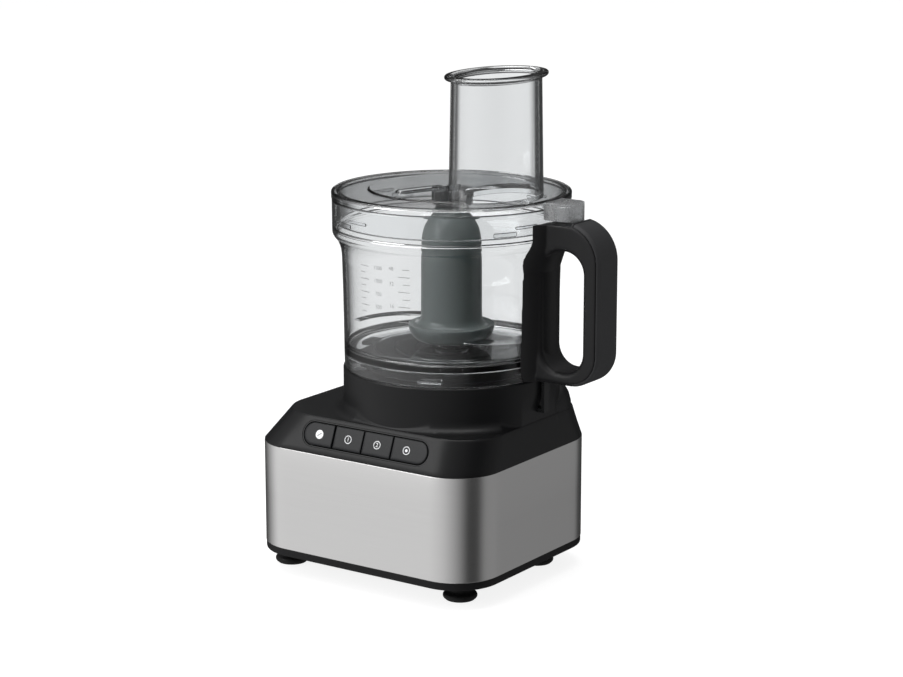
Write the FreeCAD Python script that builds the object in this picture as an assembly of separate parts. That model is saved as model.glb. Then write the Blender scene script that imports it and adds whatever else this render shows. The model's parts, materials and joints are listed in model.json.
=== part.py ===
import FreeCAD, Part
import math
import os

os.makedirs("parts", exist_ok=True)
V = FreeCAD.Vector

# Driving dimensions, millimetres. The bowl axis is the modelling origin, the floor is z = 0,
# the control panel faces -Y and the handle points to +X.
WRAP_LEFT = -128.3
WRAP_RIGHT = 83.1
WRAP_FRONT = -97.1
WRAP_BACK = 86.0
WRAP_CORNER = 37.0
WRAP_BOTTOM = 23.4
WRAP_TOP = 104.9
WRAP_SHEET = 0.8
TRAY_BOTTOM = 17.1
TRAY_FLOOR = 20.1
DECK_LEFT = -108.3
DECK_RIGHT = 81.6
DECK_FRONT = -86.4
DECK_BACK = 73.0
DECK_CORNER = 36.0
DECK_Z = 131.8
HOUSING_WALL = 2.6
COLLAR_R = 84.2
COLLAR_TOP = 165.8
PLATFORM_R = 66.0
PLATFORM_TOP = 175.0
FOOT_R = 13.3
FOOT_NECK_R = 9.0
FOOT_X = (-113.0, 49.0)
FOOT_Y = (-59.5, 48.5)
SCREW_PLACES = ((-86.0, -78.0), (64.0, -76.0), (-86.0, 70.0), (64.0, 66.0))
MOTOR_X = -72.0
MOTOR_POST_X = 28.0
MOTOR_POST_Y = 34.0
PINION_R = 8.2
PULLEY_R = 41.0
BELT_THICK = 2.0
SPINDLE_R = 6.0
COUPLING_R = 8.0
BOWL_WALL = 2.4
WALL_LOW = 190.0
WALL_HIGH = 248.0
BOWL_BOTTOM = 166.0
BOWL_FLOOR = 180.0
BOWL_RIM = 297.3
BAND_R = 91.8
COLUMN_R = 12.5
COLUMN_BORE = 9.05
COLUMN_TOP = 255.0
SHAFT_R = 4.7
RUNNING = 0.05
HUB_R = 23.3
LID_R = 92.2
LID_TOP = 303.0
LID_PLATE = 300.4
LID_RIM = 297.5
TUBE_X = 41.4
TUBE_TOP = 395.0
TUBE_WALL = 3.0
TAB_BOTTOM = 287.7
TAB_END = 115.0
TAB_HALF = 13.0
HANDLE_OUT = 141.3
HANDLE_TOP = 290.6
HANDLE_BOTTOM = 166.0
HANDLE_HALF = 15.5
COVER_THICK = 2.6
ROD_HALF = 3.5
ROD_BOTTOM = 161.7
ROD_TOP = 287.3
PANEL_X = -16.5
PANEL_Z = 119.5
PANEL_HALF = 59.5
PANEL_R = 10.5
KEY_X = (-43.0, -15.8, 11.4, 38.6)
KEY_SPLITS = (-57.9, -29.4, -2.2, 25.0, 57.9)

# The bowl axis is moved so that the whole machine is centred on the part's own origin.
SHIFT = V(-(WRAP_LEFT + HANDLE_OUT) / 2, -(WRAP_FRONT + LID_R) / 2, 0)


def box(x0, x1, y0, y1, z0, z1):
    return Part.makeBox(x1 - x0, y1 - y0, z1 - z0, V(x0, y0, z0))


def cyl(r, z0, z1, x=0.0, y=0.0):
    return Part.makeCylinder(r, z1 - z0, V(x, y, z0))


def tube(r_out, r_in, z0, z1, x=0.0, y=0.0):
    return cyl(r_out, z0, z1, x, y).cut(cyl(r_in, z0 - 1, z1 + 1, x, y))


def join(shapes):
    whole = shapes[0].multiFuse(shapes[1:])
    return whole.removeSplitter()


def group(shapes):
    return Part.makeCompound(shapes)


def rounded_wire(x0, x1, y0, y1, r, z):
    k = r * (1 - math.sqrt(0.5))
    edges = [
        Part.makeLine(V(x0 + r, y0, z), V(x1 - r, y0, z)),
        Part.Arc(V(x1 - r, y0, z), V(x1 - k, y0 + k, z), V(x1, y0 + r, z)).toShape(),
        Part.makeLine(V(x1, y0 + r, z), V(x1, y1 - r, z)),
        Part.Arc(V(x1, y1 - r, z), V(x1 - k, y1 - k, z), V(x1 - r, y1, z)).toShape(),
        Part.makeLine(V(x1 - r, y1, z), V(x0 + r, y1, z)),
        Part.Arc(V(x0 + r, y1, z), V(x0 + k, y1 - k, z), V(x0, y1 - r, z)).toShape(),
        Part.makeLine(V(x0, y1 - r, z), V(x0, y0 + r, z)),
        Part.Arc(V(x0, y0 + r, z), V(x0 + k, y0 + k, z), V(x0 + r, y0, z)).toShape(),
    ]
    return Part.Wire(edges)


def rounded_block(x0, x1, y0, y1, r, z0, z1):
    return Part.Face(rounded_wire(x0, x1, y0, y1, r, z0)).extrude(V(0, 0, z1 - z0))


def wrap_block(inset, z0, z1):
    return rounded_block(WRAP_LEFT + inset, WRAP_RIGHT - inset, WRAP_FRONT + inset,
                         WRAP_BACK - inset, WRAP_CORNER - inset, z0, z1)


def turned(points):
    """Solid of revolution about Z from a closed list of (radius, z) corners."""
    corners = [V(r, 0, z) for r, z in points]
    corners.append(corners[0])
    return Part.Face(Part.makePolygon(corners)).revolve(V(0, 0, 0), V(0, 0, 1), 360)


def turned_edges(edges):
    return Part.Face(Part.Wire(edges)).revolve(V(0, 0, 0), V(0, 0, 1), 360)


def line_rz(a, b):
    return Part.makeLine(V(a[0], 0, a[1]), V(b[0], 0, b[1]))


def curve_rz(points):
    spline = Part.BSplineCurve()
    spline.interpolate([V(r, 0, z) for r, z in points])
    return spline.toShape()


def arc_rz(a, b, c):
    return Part.Arc(V(a[0], 0, a[1]), V(b[0], 0, b[1]), V(c[0], 0, c[1])).toShape()


def sector(r_in, r_out, mid_deg, span_deg, z0, z1):
    """Ring piece centred on an angle."""
    points = []
    for r, way in ((r_out, 1), (r_in, -1)):
        for step in range(9):
            a = math.radians(mid_deg + way * span_deg * (step / 8 - 0.5))
            points.append(V(r * math.cos(a), r * math.sin(a), z0))
    points.append(points[0])
    return Part.Face(Part.makePolygon(points)).extrude(V(0, 0, z1 - z0))


def plate_xz(points, y0, y1):
    corners = [V(x, y0, z) for x, z in points]
    corners.append(corners[0])
    return Part.Face(Part.makePolygon(corners)).extrude(V(0, y1 - y0, 0))


def spring(radius, wire, x, y, z0, z1, turns):
    """Closed coil spring standing on z0."""
    rise = (z1 - z0 - wire) / turns
    helix = Part.makeHelix(rise, z1 - z0 - wire, radius)
    start = Part.Wire(Part.makeCircle(wire / 2, V(radius, 0, 0), V(0, 1, rise / (6.283 * radius))))
    coil = Part.Wire(helix).makePipeShell([start], True, True)
    coil.translate(V(x, y, z0 + wire / 2))
    return coil


# ---------------------------------------------------------------- base, lower part

def base_tray():
    rim = wrap_block(0.5, TRAY_BOTTOM, WRAP_BOTTOM).cut(wrap_block(3.2, TRAY_FLOOR, 30))
    rim = rim.makeFillet(1.6, [e for e in rim.Edges if e.BoundBox.ZMax < TRAY_BOTTOM + 0.01])
    lip = wrap_block(1.0, TRAY_FLOOR, 40).cut(wrap_block(3.2, TRAY_FLOOR - 1, 41))
    pieces = [rim, lip]
    for x in FOOT_X:
        for y in FOOT_Y:
            pieces.append(cyl(11, TRAY_BOTTOM, 25, x, y))
    for x, y in SCREW_PLACES:
        pieces.append(cyl(6.5, TRAY_BOTTOM, 24, x, y))
    for sx in (-1, 1):
        for sy in (-1, 1):
            pieces.append(cyl(5, TRAY_BOTTOM + 1, 44, MOTOR_X + sx * MOTOR_POST_X, sy * MOTOR_POST_Y))
    tray = join(pieces)
    cuts = []
    for x in FOOT_X:
        for y in FOOT_Y:
            cuts.append(cyl(4.0, TRAY_BOTTOM - 1, 22.2, x, y))
    for x, y in SCREW_PLACES:
        cuts.append(cyl(4.2, TRAY_BOTTOM - 1, 20.6, x, y))
        cuts.append(cyl(1.9, TRAY_BOTTOM - 1, 25, x, y))
    for row in range(7):
        x = MOTOR_X - 21 + 7 * row
        cuts.append(rounded_block(x - 1.5, x + 1.5, -16, 16, 1.4, TRAY_BOTTOM - 1, TRAY_FLOOR + 1))
    for row in range(8):
        x = -24.5 + 7 * row
        cuts.append(rounded_block(x - 1.5, x + 1.5, 52, 78, 1.4, TRAY_BOTTOM - 1, TRAY_FLOOR + 1))
    return tray.cut(group(cuts))


def foot(x, y):
    body = turned_edges([
        line_rz((0, 0), (FOOT_R - 2.2, 0)),
        arc_rz((FOOT_R - 2.2, 0), (FOOT_R - 0.4, 1.2), (FOOT_R, 3.2)),
        arc_rz((FOOT_R, 3.2), (FOOT_R - 0.9, 5.4), (FOOT_R - 3.0, 6.4)),
        line_rz((FOOT_R - 3.0, 6.4), (FOOT_NECK_R, 7.6)),
        line_rz((FOOT_NECK_R, 7.6), (FOOT_NECK_R, TRAY_BOTTOM)),
        line_rz((FOOT_NECK_R, TRAY_BOTTOM), (3.9, TRAY_BOTTOM)),
        line_rz((3.9, TRAY_BOTTOM), (3.9, 22)),
        line_rz((3.9, 22), (0, 22)),
        line_rz((0, 22), (0, 0)),
    ])
    body.translate(V(x, y, 0))
    return body


def steel_wrap():
    sheet = wrap_block(0, WRAP_BOTTOM, WRAP_TOP)
    sheet = sheet.cut(wrap_block(WRAP_SHEET, WRAP_BOTTOM - 1, WRAP_TOP + 1))
    hole = Part.makeCylinder(8.0, 8, V(-30, WRAP_BACK - 6, 62), V(0, 1, 0))
    slots = []
    for col in range(12):
        x = -96 + 6.0 * col
        if x < -44:
            slots.append(box(x - 1.3, x + 1.3, WRAP_BACK - 3, WRAP_BACK + 3, 46, 74))
    return sheet.cut(group([hole] + slots))


def cord_gland():
    start = V(-30, 68, 62)
    along = V(0, 1, 0)
    body = Part.makeCylinder(6.2, 23.5, start, along)
    inner = Part.makeCylinder(10.5, 3.0, V(-30, 82.2, 62), along)
    neck = Part.makeCylinder(7.9, 1.2, V(-30, 85.0, 62), along)
    outer = Part.makeCylinder(11.0, 2.6, V(-30, 86.0, 62), along)
    return join([body, inner, neck, outer]).cut(Part.makeCylinder(3.6, 30, V(-30, 66, 62), along))


def base_screws():
    screws = []
    for x, y in SCREW_PLACES:
        one = cyl(3.9, 17.8, 20.6, x, y).fuse(cyl(1.75, 20.6, 38, x, y))
        cross = group([box(x - 2.4, x + 2.4, y - 0.5, y + 0.5, 17, 19.2),
                       box(x - 0.5, x + 0.5, y - 2.4, y + 2.4, 17, 19.2)])
        screws.append(one.cut(cross))
    return group(screws)


# ---------------------------------------------------------------- base, top housing

def deck_wire(inset, z):
    return rounded_wire(DECK_LEFT + inset, DECK_RIGHT - inset, DECK_FRONT + inset,
                        DECK_BACK - inset, DECK_CORNER - inset, z)


def chamfer_block(inset, drop):
    low = rounded_wire(WRAP_LEFT + inset, WRAP_RIGHT - inset, WRAP_FRONT + inset,
                       WRAP_BACK - inset, WRAP_CORNER - inset, WRAP_TOP)
    body = Part.makeLoft([low, deck_wire(inset, DECK_Z - 1.2 - drop)], True, True)
    crown = Part.makeLoft([deck_wire(inset, DECK_Z - 1.2 - drop),
                           deck_wire(inset + 2.4, DECK_Z - drop)], True, True)
    return body.fuse(crown)


def deck_prism(grow, z0, z1):
    return Part.Face(deck_wire(-grow, z0)).extrude(V(0, 0, z1 - z0))


def collar_outer():
    flank = turned_edges([
        line_rz((0, 120), (COLLAR_R + 9.2, 120)),
        line_rz((COLLAR_R + 9.2, 120), (COLLAR_R + 9.2, DECK_Z - 0.2)),
        arc_rz((COLLAR_R + 9.2, DECK_Z - 0.2), (COLLAR_R + 2.9, DECK_Z + 2.6), (COLLAR_R + 0.2, DECK_Z + 9)),
        line_rz((COLLAR_R + 0.2, DECK_Z + 9), (COLLAR_R - 0.3, COLLAR_TOP - 1.4)),
        arc_rz((COLLAR_R - 0.3, COLLAR_TOP - 1.4), (COLLAR_R - 0.7, COLLAR_TOP - 0.4),
               (COLLAR_R - 1.7, COLLAR_TOP)),
        line_rz((COLLAR_R - 1.7, COLLAR_TOP), (0, COLLAR_TOP)),
        line_rz((0, COLLAR_TOP), (0, 120)),
    ])
    inside = deck_prism(-0.8, 120, DECK_Z + 9)
    above = cyl(COLLAR_R + 0.25, DECK_Z - 12, COLLAR_TOP + 1)
    return flank.common(inside.fuse(above))


def corner_shoulder():
    """Rounded shoulder that fills the back right corner up to the collar."""
    dome = turned_edges([
        line_rz((70, 125), (97, 125)),
        line_rz((97, 125), (96.5, 131)),
        arc_rz((96.5, 131), (91.5, 141), (84.0, 148.5)),
        line_rz((84.0, 148.5), (70, 150)),
        line_rz((70, 150), (70, 125)),
    ])
    wedge = sector(60, 110, 30, 96, 124, 152)
    return dome.common(wedge).common(deck_prism(-0.8, 120, 160))


def plunger_boss():
    block = rounded_block(70, 90.2, -7.5, 7.5, 3, 143, 161.4)
    foot_block = Part.makeLoft([rounded_wire(70, 81.0, -7.5, 7.5, 3, 133),
                                rounded_wire(70, 90.2, -7.5, 7.5, 3, 143)], True, True)
    return block.fuse(foot_block)


def whole_housing():
    outer = join([chamfer_block(0, 0), collar_outer(), corner_shoulder(),
                  cyl(PLATFORM_R, 160, PLATFORM_TOP), plunger_boss()])
    hollow = join([chamfer_block(HOUSING_WALL, HOUSING_WALL),
                   cyl(COLLAR_R - 3.2, 120, COLLAR_TOP - HOUSING_WALL),
                   cyl(PLATFORM_R - 2.6, 150, PLATFORM_TOP - 2.6)])
    shell = outer.cut(hollow)
    skirt_low = WRAP_TOP - 8
    skirt = wrap_block(WRAP_SHEET + 0.2, skirt_low, WRAP_TOP + 1.5)
    skirt = skirt.cut(wrap_block(3.4, skirt_low - 1, WRAP_TOP + 3))
    skirt = skirt.common(outer.fuse(wrap_block(0, 90, WRAP_TOP)))
    pieces = [shell, skirt, tube(12.4, 9.4, 158, PLATFORM_TOP)]
    for k in range(3):
        a = math.radians(30 + 120 * k)
        pieces.append(cyl(4.5, 154, PLATFORM_TOP - 1, 30 * math.cos(a), 30 * math.sin(a)))
    for x, y in SCREW_PLACES:
        pieces.append(cyl(5, 24, 128, x, y).common(outer.fuse(cyl(5, 24, WRAP_TOP + 1, x, y))))
    for k in range(6):
        pieces.append(sector(PLATFORM_R - 1, 76.5, -67.5 + 15 + 60 * k, 13, 171.6, PLATFORM_TOP))
    body = join(pieces)
    cuts = [cyl(9.4, 150, 180)]
    for x, y in SCREW_PLACES:
        cuts.append(cyl(1.75, 20, 40, x, y))
    for k in range(3):
        a = math.radians(30 + 120 * k)
        cuts.append(cyl(1.6, 150, 166, 30 * math.cos(a), 30 * math.sin(a)))
    cuts.append(panel_place(capsule(PANEL_HALF, PANEL_R, -30, 6)).common(box(-90, 60, -110, -84, 90, 140)))
    cuts.append(box(60, 88.1, -4.5, 4.5, 138.5, 159.4))
    cuts.append(box(85.1, 87.9, -ROD_HALF - 0.1, ROD_HALF + 0.1, 150, 170))
    return body.cut(group(cuts))


def top_housing(whole):
    """Chamfered rim and flat deck."""
    return whole.common(box(-140, 100, -110, 100, 20, DECK_Z))


def bowl_collar(whole):
    """Round collar and raised platform that the bowl sits on."""
    return whole.common(box(-140, 100, -110, 100, DECK_Z, 180))


def spindle_seal():
    return tube(9.4, SPINDLE_R + 0.25, 161, 166)


# ---------------------------------------------------------------- control panel

def panel_place(shape):
    tilt = math.degrees(math.atan2(DECK_Z - WRAP_TOP, DECK_FRONT - WRAP_FRONT))
    y = WRAP_FRONT + (PANEL_Z - WRAP_TOP) * (DECK_FRONT - WRAP_FRONT) / (DECK_Z - WRAP_TOP)
    placed = shape.copy()
    placed.rotate(V(0, 0, 0), V(1, 0, 0), tilt)
    placed.translate(V(PANEL_X, y, PANEL_Z))
    return placed


def capsule(half, r, z0, z1):
    return rounded_block(-half, half, -r, r, r - 0.05, z0, z1)


def control_panel():
    floor = capsule(PANEL_HALF - 0.1, PANEL_R - 0.1, -5.2, -3.6)
    ring = capsule(PANEL_HALF - 0.1, PANEL_R - 0.1, -5.2, -0.4).cut(
        capsule(PANEL_HALF - 1.3, PANEL_R - 1.3, -6, 1))
    body = join([floor, ring, cyl(2.4, -11.4, -5, -52, 0), cyl(2.4, -11.4, -5, 52, 0)])
    holes = [cyl(2.0, -8, 2, x, 0) for x in KEY_X]
    return panel_place(body.cut(group(holes)))


def panel_key(index):
    left = KEY_SPLITS[index] + (0.0 if index == 0 else 0.4)
    right = KEY_SPLITS[index + 1] - (0.0 if index == 3 else 0.4)
    if index == 0:
        right = right - 0.9
    plate = capsule(57.7, 8.7, -2.0, 0.3)
    plate = plate.common(box(left, right, -12, 12, -3, 2))
    top = [e for e in plate.Edges if e.BoundBox.ZMin > 0.29]
    plate = plate.makeFillet(0.5, top)
    stem = cyl(1.8, -6.9, -1.9, KEY_X[index], 0)
    return panel_place(plate.fuse(stem).removeSplitter())


def circuit_board():
    return panel_place(rounded_block(-57, 57, -9.5, 9.5, 2, -13.0, -11.4))


def tact_switches():
    switches = []
    for x in KEY_X:
        switches.append(box(x - 3, x + 3, -3, 3, -11.4, -9.4).fuse(cyl(1.6, -9.4, -8.5, x, 0)))
    return panel_place(group(switches))


# ---------------------------------------------------------------- motor

def at_motor(shape):
    shape.translate(V(MOTOR_X, 0, 0))
    return shape


def coil(sy, grow):
    outer = box(-20 - grow, 20 + grow, 23.2 - grow, 30.5 + grow, 61 - grow, 109 + grow)
    inner = box(-12.5 + grow, 12.5 - grow, 20, 35, 69.5 + grow, 100.5 - grow)
    loop = outer.cut(inner)
    if sy < 0:
        loop.rotate(V(0, 0, 0), V(0, 0, 1), 180)
    return loop


def motor_stator():
    core = rounded_block(-36, 36, -36, 36, 8, 68, 102).cut(cyl(22.2, 60, 110))
    return at_motor(core.cut(coil(1, 0.1)).cut(coil(-1, 0.1)))


def field_winding(sy):
    loop = coil(sy, 0)
    if sy > 0:
        return at_motor(loop.makeFillet(1.5, [e for e in loop.Edges if e.Length > 40 and
                                             e.BoundBox.YMin > 29]))
    return at_motor(loop)


def motor_bracket_lower():
    plate = rounded_block(-35, 35, -40, 40, 6, 48, 51.5)
    pieces = [plate, tube(11, 8, 45, 51.5)]
    for sx in (-1, 1):
        for sy in (-1, 1):
            pieces.append(cyl(4, 51, 68, sx * 30, sy * 30))
    body = join(pieces).cut(cyl(8, 40, 60))
    holes = []
    for sx in (-1, 1):
        for sy in (-1, 1):
            holes.append(cyl(2.0, 40, 60, sx * MOTOR_POST_X, sy * MOTOR_POST_Y))
    for k in range(8):
        a = math.radians(22.5 + 45 * k)
        holes.append(cyl(3.2, 40, 60, 17 * math.cos(a), 17 * math.sin(a)))
    return at_motor(body.cut(group(holes)))


def motor_bracket_upper():
    plate = rounded_block(-35, 35, -18, 18, 6, 119.5, 122.5)
    bars = [plate, tube(11, 8, 118.5, 124)]
    for sx in (-1, 1):
        bars.append(rounded_block(sx * 31 - 4, sx * 31 + 4, -35, 35, 3.5, 119.5, 122.5))
        for sy in (-1, 1):
            bars.append(cyl(4, 102, 120, sx * 31, sy * 31))
    return at_motor(join(bars).cut(cyl(8, 100, 130)))


def motor_bearing(z0, z1):
    return at_motor(tube(8, 4 + RUNNING, z0, z1))


def motor_mounts():
    rings = []
    for sx in (-1, 1):
        for sy in (-1, 1):
            rings.append(tube(6, 2.2, 44, 48, sx * MOTOR_POST_X, sy * MOTOR_POST_Y))
    return at_motor(group(rings))


def brush_holders():
    holders = []
    for side in (0, 180):
        one = box(12.5, 31, -4.6, 4.6, 109.6, 119.5).cut(box(10, 40, -3.1, 3.1, 110.6, 116.6))
        one.rotate(V(0, 0, 0), V(0, 0, 1), side)
        holders.append(one)
    return at_motor(group(holders))


def carbon_brushes():
    brushes = []
    for side in (0, 180):
        one = box(11.05, 24, -3, 3, 110.7, 116.5)
        one.rotate(V(0, 0, 0), V(0, 0, 1), side)
        brushes.append(one)
    return at_motor(group(brushes))


def motor_shaft():
    return at_motor(cyl(4, 27, 125))


def armature_core():
    stack = cyl(21.6, 68, 102)
    slots = []
    for k in range(12):
        slot = box(19.6, 24, -1.2, 1.2, 60, 110)
        slot.rotate(V(0, 0, 0), V(0, 0, 1), 30 * k)
        slots.append(slot)
    stack = stack.cut(group(slots))
    heads = [turned([(4, 62), (15, 62), (18, 64), (18, 68), (4, 68)]),
             turned([(4, 102), (18, 102), (18, 105.5), (15, 108), (4, 108)])]
    return at_motor(join([stack] + heads).cut(cyl(4, 50, 120)))


def commutator():
    ring = tube(11, 4, 108.5, 118)
    cuts = []
    for k in range(24):
        slot = box(9.8, 12, -0.3, 0.3, 109.5, 119)
        slot.rotate(V(0, 0, 0), V(0, 0, 1), 15 * k)
        cuts.append(slot)
    return at_motor(ring.cut(group(cuts)))


def cooling_fan():
    disc = tube(23, 4, 53, 54.6)
    hub = tube(8, 4, 53, 60.5)
    blades = [disc, hub]
    for k in range(10):
        blade = box(7.5, 22.5, -0.7, 0.7, 54, 60)
        blade.rotate(V(7.5, 0, 0), V(0, 0, 1), 18)
        blade.rotate(V(0, 0, 0), V(0, 0, 1), 36 * k)
        blades.append(blade)
    return at_motor(join(blades))


def motor_pinion():
    wheel = turned([(4, 30), (PINION_R + 1.6, 30), (PINION_R + 1.6, 31), (PINION_R, 31),
                    (PINION_R, 42), (4, 42)])
    return at_motor(wheel)


def belt_outline(extra, z0, z1):
    """Loop round both pulleys, grown outwards by extra."""
    big = PULLEY_R + extra
    small = PINION_R + extra
    s = (big - small) / abs(MOTOR_X)
    c = math.sqrt(1 - s * s)
    a = V(-big * s, big * c, z0)
    b = V(MOTOR_X - small * s, small * c, z0)
    mirror_a = V(a.x, -a.y, z0)
    mirror_b = V(b.x, -b.y, z0)
    edges = [Part.makeLine(a, b),
             Part.Arc(b, V(MOTOR_X - small, 0, z0), mirror_b).toShape(),
             Part.makeLine(mirror_b, mirror_a),
             Part.Arc(mirror_a, V(big, 0, z0), a).toShape()]
    return Part.Face(Part.Wire(edges)).extrude(V(0, 0, z1 - z0))


def drive_belt():
    return belt_outline(0.05 + BELT_THICK, 31.4, 41.4).cut(belt_outline(0.05, 30, 43))


# ---------------------------------------------------------------- spindle

def spindle_shaft():
    return cyl(SPINDLE_R, 27, 170).fuse(cyl(SPINDLE_R + 2.4, 44.4, 46.4)).removeSplitter()


def large_pulley():
    rim = tube(PULLEY_R, PULLEY_R - 4, 31, 42)
    flange = tube(PULLEY_R + 1.8, PULLEY_R - 4, 30, 31)
    web = tube(PULLEY_R - 3.5, SPINDLE_R, 35, 38)
    hub = tube(12, SPINDLE_R, 30, 43.5)
    body = join([rim, flange, web, hub])
    holes = []
    for k in range(6):
        a = math.radians(60 * k)
        holes.append(cyl(6, 30, 45, 24 * math.cos(a), 24 * math.sin(a)))
    return body.cut(group(holes))


def hexagon(flats, z0, z1):
    r = flats / math.sqrt(3)
    points = [V(r * math.cos(math.radians(60 * k)), r * math.sin(math.radians(60 * k)), z0)
              for k in range(7)]
    return Part.Face(Part.makePolygon(points)).extrude(V(0, 0, z1 - z0))


def drive_coupling():
    body = turned([(0, 168), (COUPLING_R, 168), (COUPLING_R, 184.8), (COUPLING_R - 1.2, 186), (0, 186)])
    body = body.cut(cyl(SPINDLE_R, 160, 170))
    return body.cut(hexagon(8.16, 174.0, 190))


def spindle_bush(z0, z1):
    return tube(11, SPINDLE_R + RUNNING, z0, z1)


def spindle_bracket():
    body = [tube(14, 11, 48, 150), tube(38, 11, 150, 154)]
    for k in range(3):
        rib = plate_xz([(13, 110), (13, 150.5), (36, 150.5)], -1.5, 1.5)
        rib.rotate(V(0, 0, 0), V(0, 0, 1), 90 + 120 * k)
        body.append(rib)
    whole = join(body)
    holes = []
    for k in range(3):
        a = math.radians(30 + 120 * k)
        holes.append(cyl(1.8, 140, 160, 30 * math.cos(a), 30 * math.sin(a)))
    return whole.cut(group(holes))


# ---------------------------------------------------------------- safety switch

def switch_bracket():
    upright = box(50, 51.6, -6, 6, 112, COLLAR_TOP + 6.6)
    shelf = box(50, 79, -6, 6, 116, 117.6)
    return upright.fuse(shelf).removeSplitter()


def safety_switch():
    return box(51.6, 70, -4, 4, 117.6, 130).fuse(box(65.5, 68.5, -1.5, 1.5, 130, 135.6))


def switch_plunger():
    pin = box(85.2, 87.8, -ROD_HALF, ROD_HALF, 139.2, 161.5)
    arm = box(63.5, 87.8, -ROD_HALF, ROD_HALF, 139.2, 142.2)
    toe = box(65, 69, -2.5, 2.5, 135.8, 139.3)
    stub = cyl(1.6, 136.5, 139.3, 74.5, 0)
    return join([pin, arm, toe, stub])


def plunger_spring():
    return spring(2.9, 0.9, 74.5, 0, 117.6, 139.2, 7)


# ---------------------------------------------------------------- bowl

BOWL_OUT = [(82.9, BOWL_BOTTOM), (83.1, 178.5), (83.4, 204), (83.8, 229), (84.3, 248)]
BOWL_SHOULDER = [(84.3, 248), (84.6, 254), (86.0, 260.6), (88.8, 266.8), (91.4, 273), (91.7, 279)]


def bowl_envelope():
    """Everything inside the bowl's outer skin."""
    edges = [line_rz((0, BOWL_BOTTOM - 6), (82.9, BOWL_BOTTOM - 6)),
             line_rz((82.9, BOWL_BOTTOM - 6), BOWL_OUT[0])]
    for a, b in zip(BOWL_OUT, BOWL_OUT[1:]):
        edges.append(line_rz(a, b))
    edges.append(curve_rz(BOWL_SHOULDER))
    edges.append(line_rz(BOWL_SHOULDER[-1], (BAND_R, BOWL_RIM)))
    edges.append(line_rz((BAND_R, BOWL_RIM), (BAND_R, 310)))
    edges.append(line_rz((BAND_R, 310), (0, 310)))
    edges.append(line_rz((0, 310), (0, BOWL_BOTTOM - 6)))
    return turned_edges(edges)


def whole_bowl():
    inside = [(r - BOWL_WALL, z) for r, z in BOWL_OUT]
    shoulder_in = [(r - BOWL_WALL, z + 0.6) for r, z in BOWL_SHOULDER]
    edges = [line_rz((80.3, BOWL_BOTTOM), BOWL_OUT[0])]
    for a, b in zip(BOWL_OUT, BOWL_OUT[1:]):
        edges.append(line_rz(a, b))
    edges.append(curve_rz(BOWL_SHOULDER))
    edges.append(line_rz(BOWL_SHOULDER[-1], (BAND_R, BOWL_RIM - 0.8)))
    edges.append(arc_rz((BAND_R, BOWL_RIM - 0.8), (BAND_R - 0.3, BOWL_RIM - 0.2), (BAND_R - 1.0, BOWL_RIM)))
    edges.append(line_rz((BAND_R - 1.0, BOWL_RIM), (89.3, BOWL_RIM)))
    edges.append(line_rz((89.3, BOWL_RIM), shoulder_in[-1]))
    edges.append(curve_rz(shoulder_in[::-1]))
    edges.append(line_rz(shoulder_in[0], (inside[3][0], inside[3][1])))
    edges.append(line_rz((inside[3][0], inside[3][1]), (inside[2][0], inside[2][1])))
    edges.append(line_rz((inside[2][0], inside[2][1]), (80.7, BOWL_FLOOR + 7)))
    edges.append(arc_rz((80.7, BOWL_FLOOR + 7), (78.7, BOWL_FLOOR + 2), (73.7, BOWL_FLOOR)))
    edges.append(line_rz((73.7, BOWL_FLOOR), (COLUMN_R + 4, BOWL_FLOOR)))
    edges.append(arc_rz((COLUMN_R + 4, BOWL_FLOOR), (COLUMN_R + 1.2, BOWL_FLOOR + 1.2),
                        (COLUMN_R, BOWL_FLOOR + 4)))
    edges.append(line_rz((COLUMN_R, BOWL_FLOOR + 4), (COLUMN_R - 0.3, COLUMN_TOP)))
    edges.append(line_rz((COLUMN_R - 0.3, COLUMN_TOP), (COLUMN_BORE, COLUMN_TOP)))
    edges.append(line_rz((COLUMN_BORE, COLUMN_TOP), (COLUMN_BORE, BOWL_FLOOR - 2.6)))
    edges.append(line_rz((COLUMN_BORE, BOWL_FLOOR - 2.6), (80.3, BOWL_FLOOR - 2.6)))
    edges.append(line_rz((80.3, BOWL_FLOOR - 2.6), (80.3, BOWL_BOTTOM)))
    body = turned_edges(edges)
    pieces = [body]
    for r in (28.0, 44.0, 60.0):
        pieces.append(tube(r + 0.8, r - 0.8, BOWL_FLOOR - 3.8, BOWL_FLOOR - 2.5))
    for k in range(6):
        pieces.append(sector(71.0, 81.0, -67.5 + 60 * k, 13, 167.6, 170.6))
    for k in range(4):
        pieces.append(sector(88.1, 90.0, -29 + 12 + 90 * k, 13, 285.0, 287.4))
    return join(pieces)


def bowl_floor(whole):
    """Floor with the drive column and the skirt that locks on the collar."""
    return whole.common(cyl(100, 150, WALL_LOW).fuse(cyl(20, 150, COLUMN_TOP + 1)))


def bowl_wall(whole):
    return whole.common(tube(100, 40, WALL_LOW, WALL_HIGH))


def bowl_band(whole):
    """Flared shoulder and upper band that carry the lid."""
    return whole.common(tube(100, 40, WALL_HIGH, 300))


def bowl_bush():
    flange = tube(11.5, SHAFT_R + RUNNING, COLUMN_TOP + 0.05, COLUMN_TOP + 2)
    sleeve = tube(COLUMN_BORE - RUNNING, SHAFT_R + RUNNING, 196, COLUMN_TOP + 1)
    return flange.fuse(sleeve).removeSplitter()


# ---------------------------------------------------------------- blade

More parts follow.
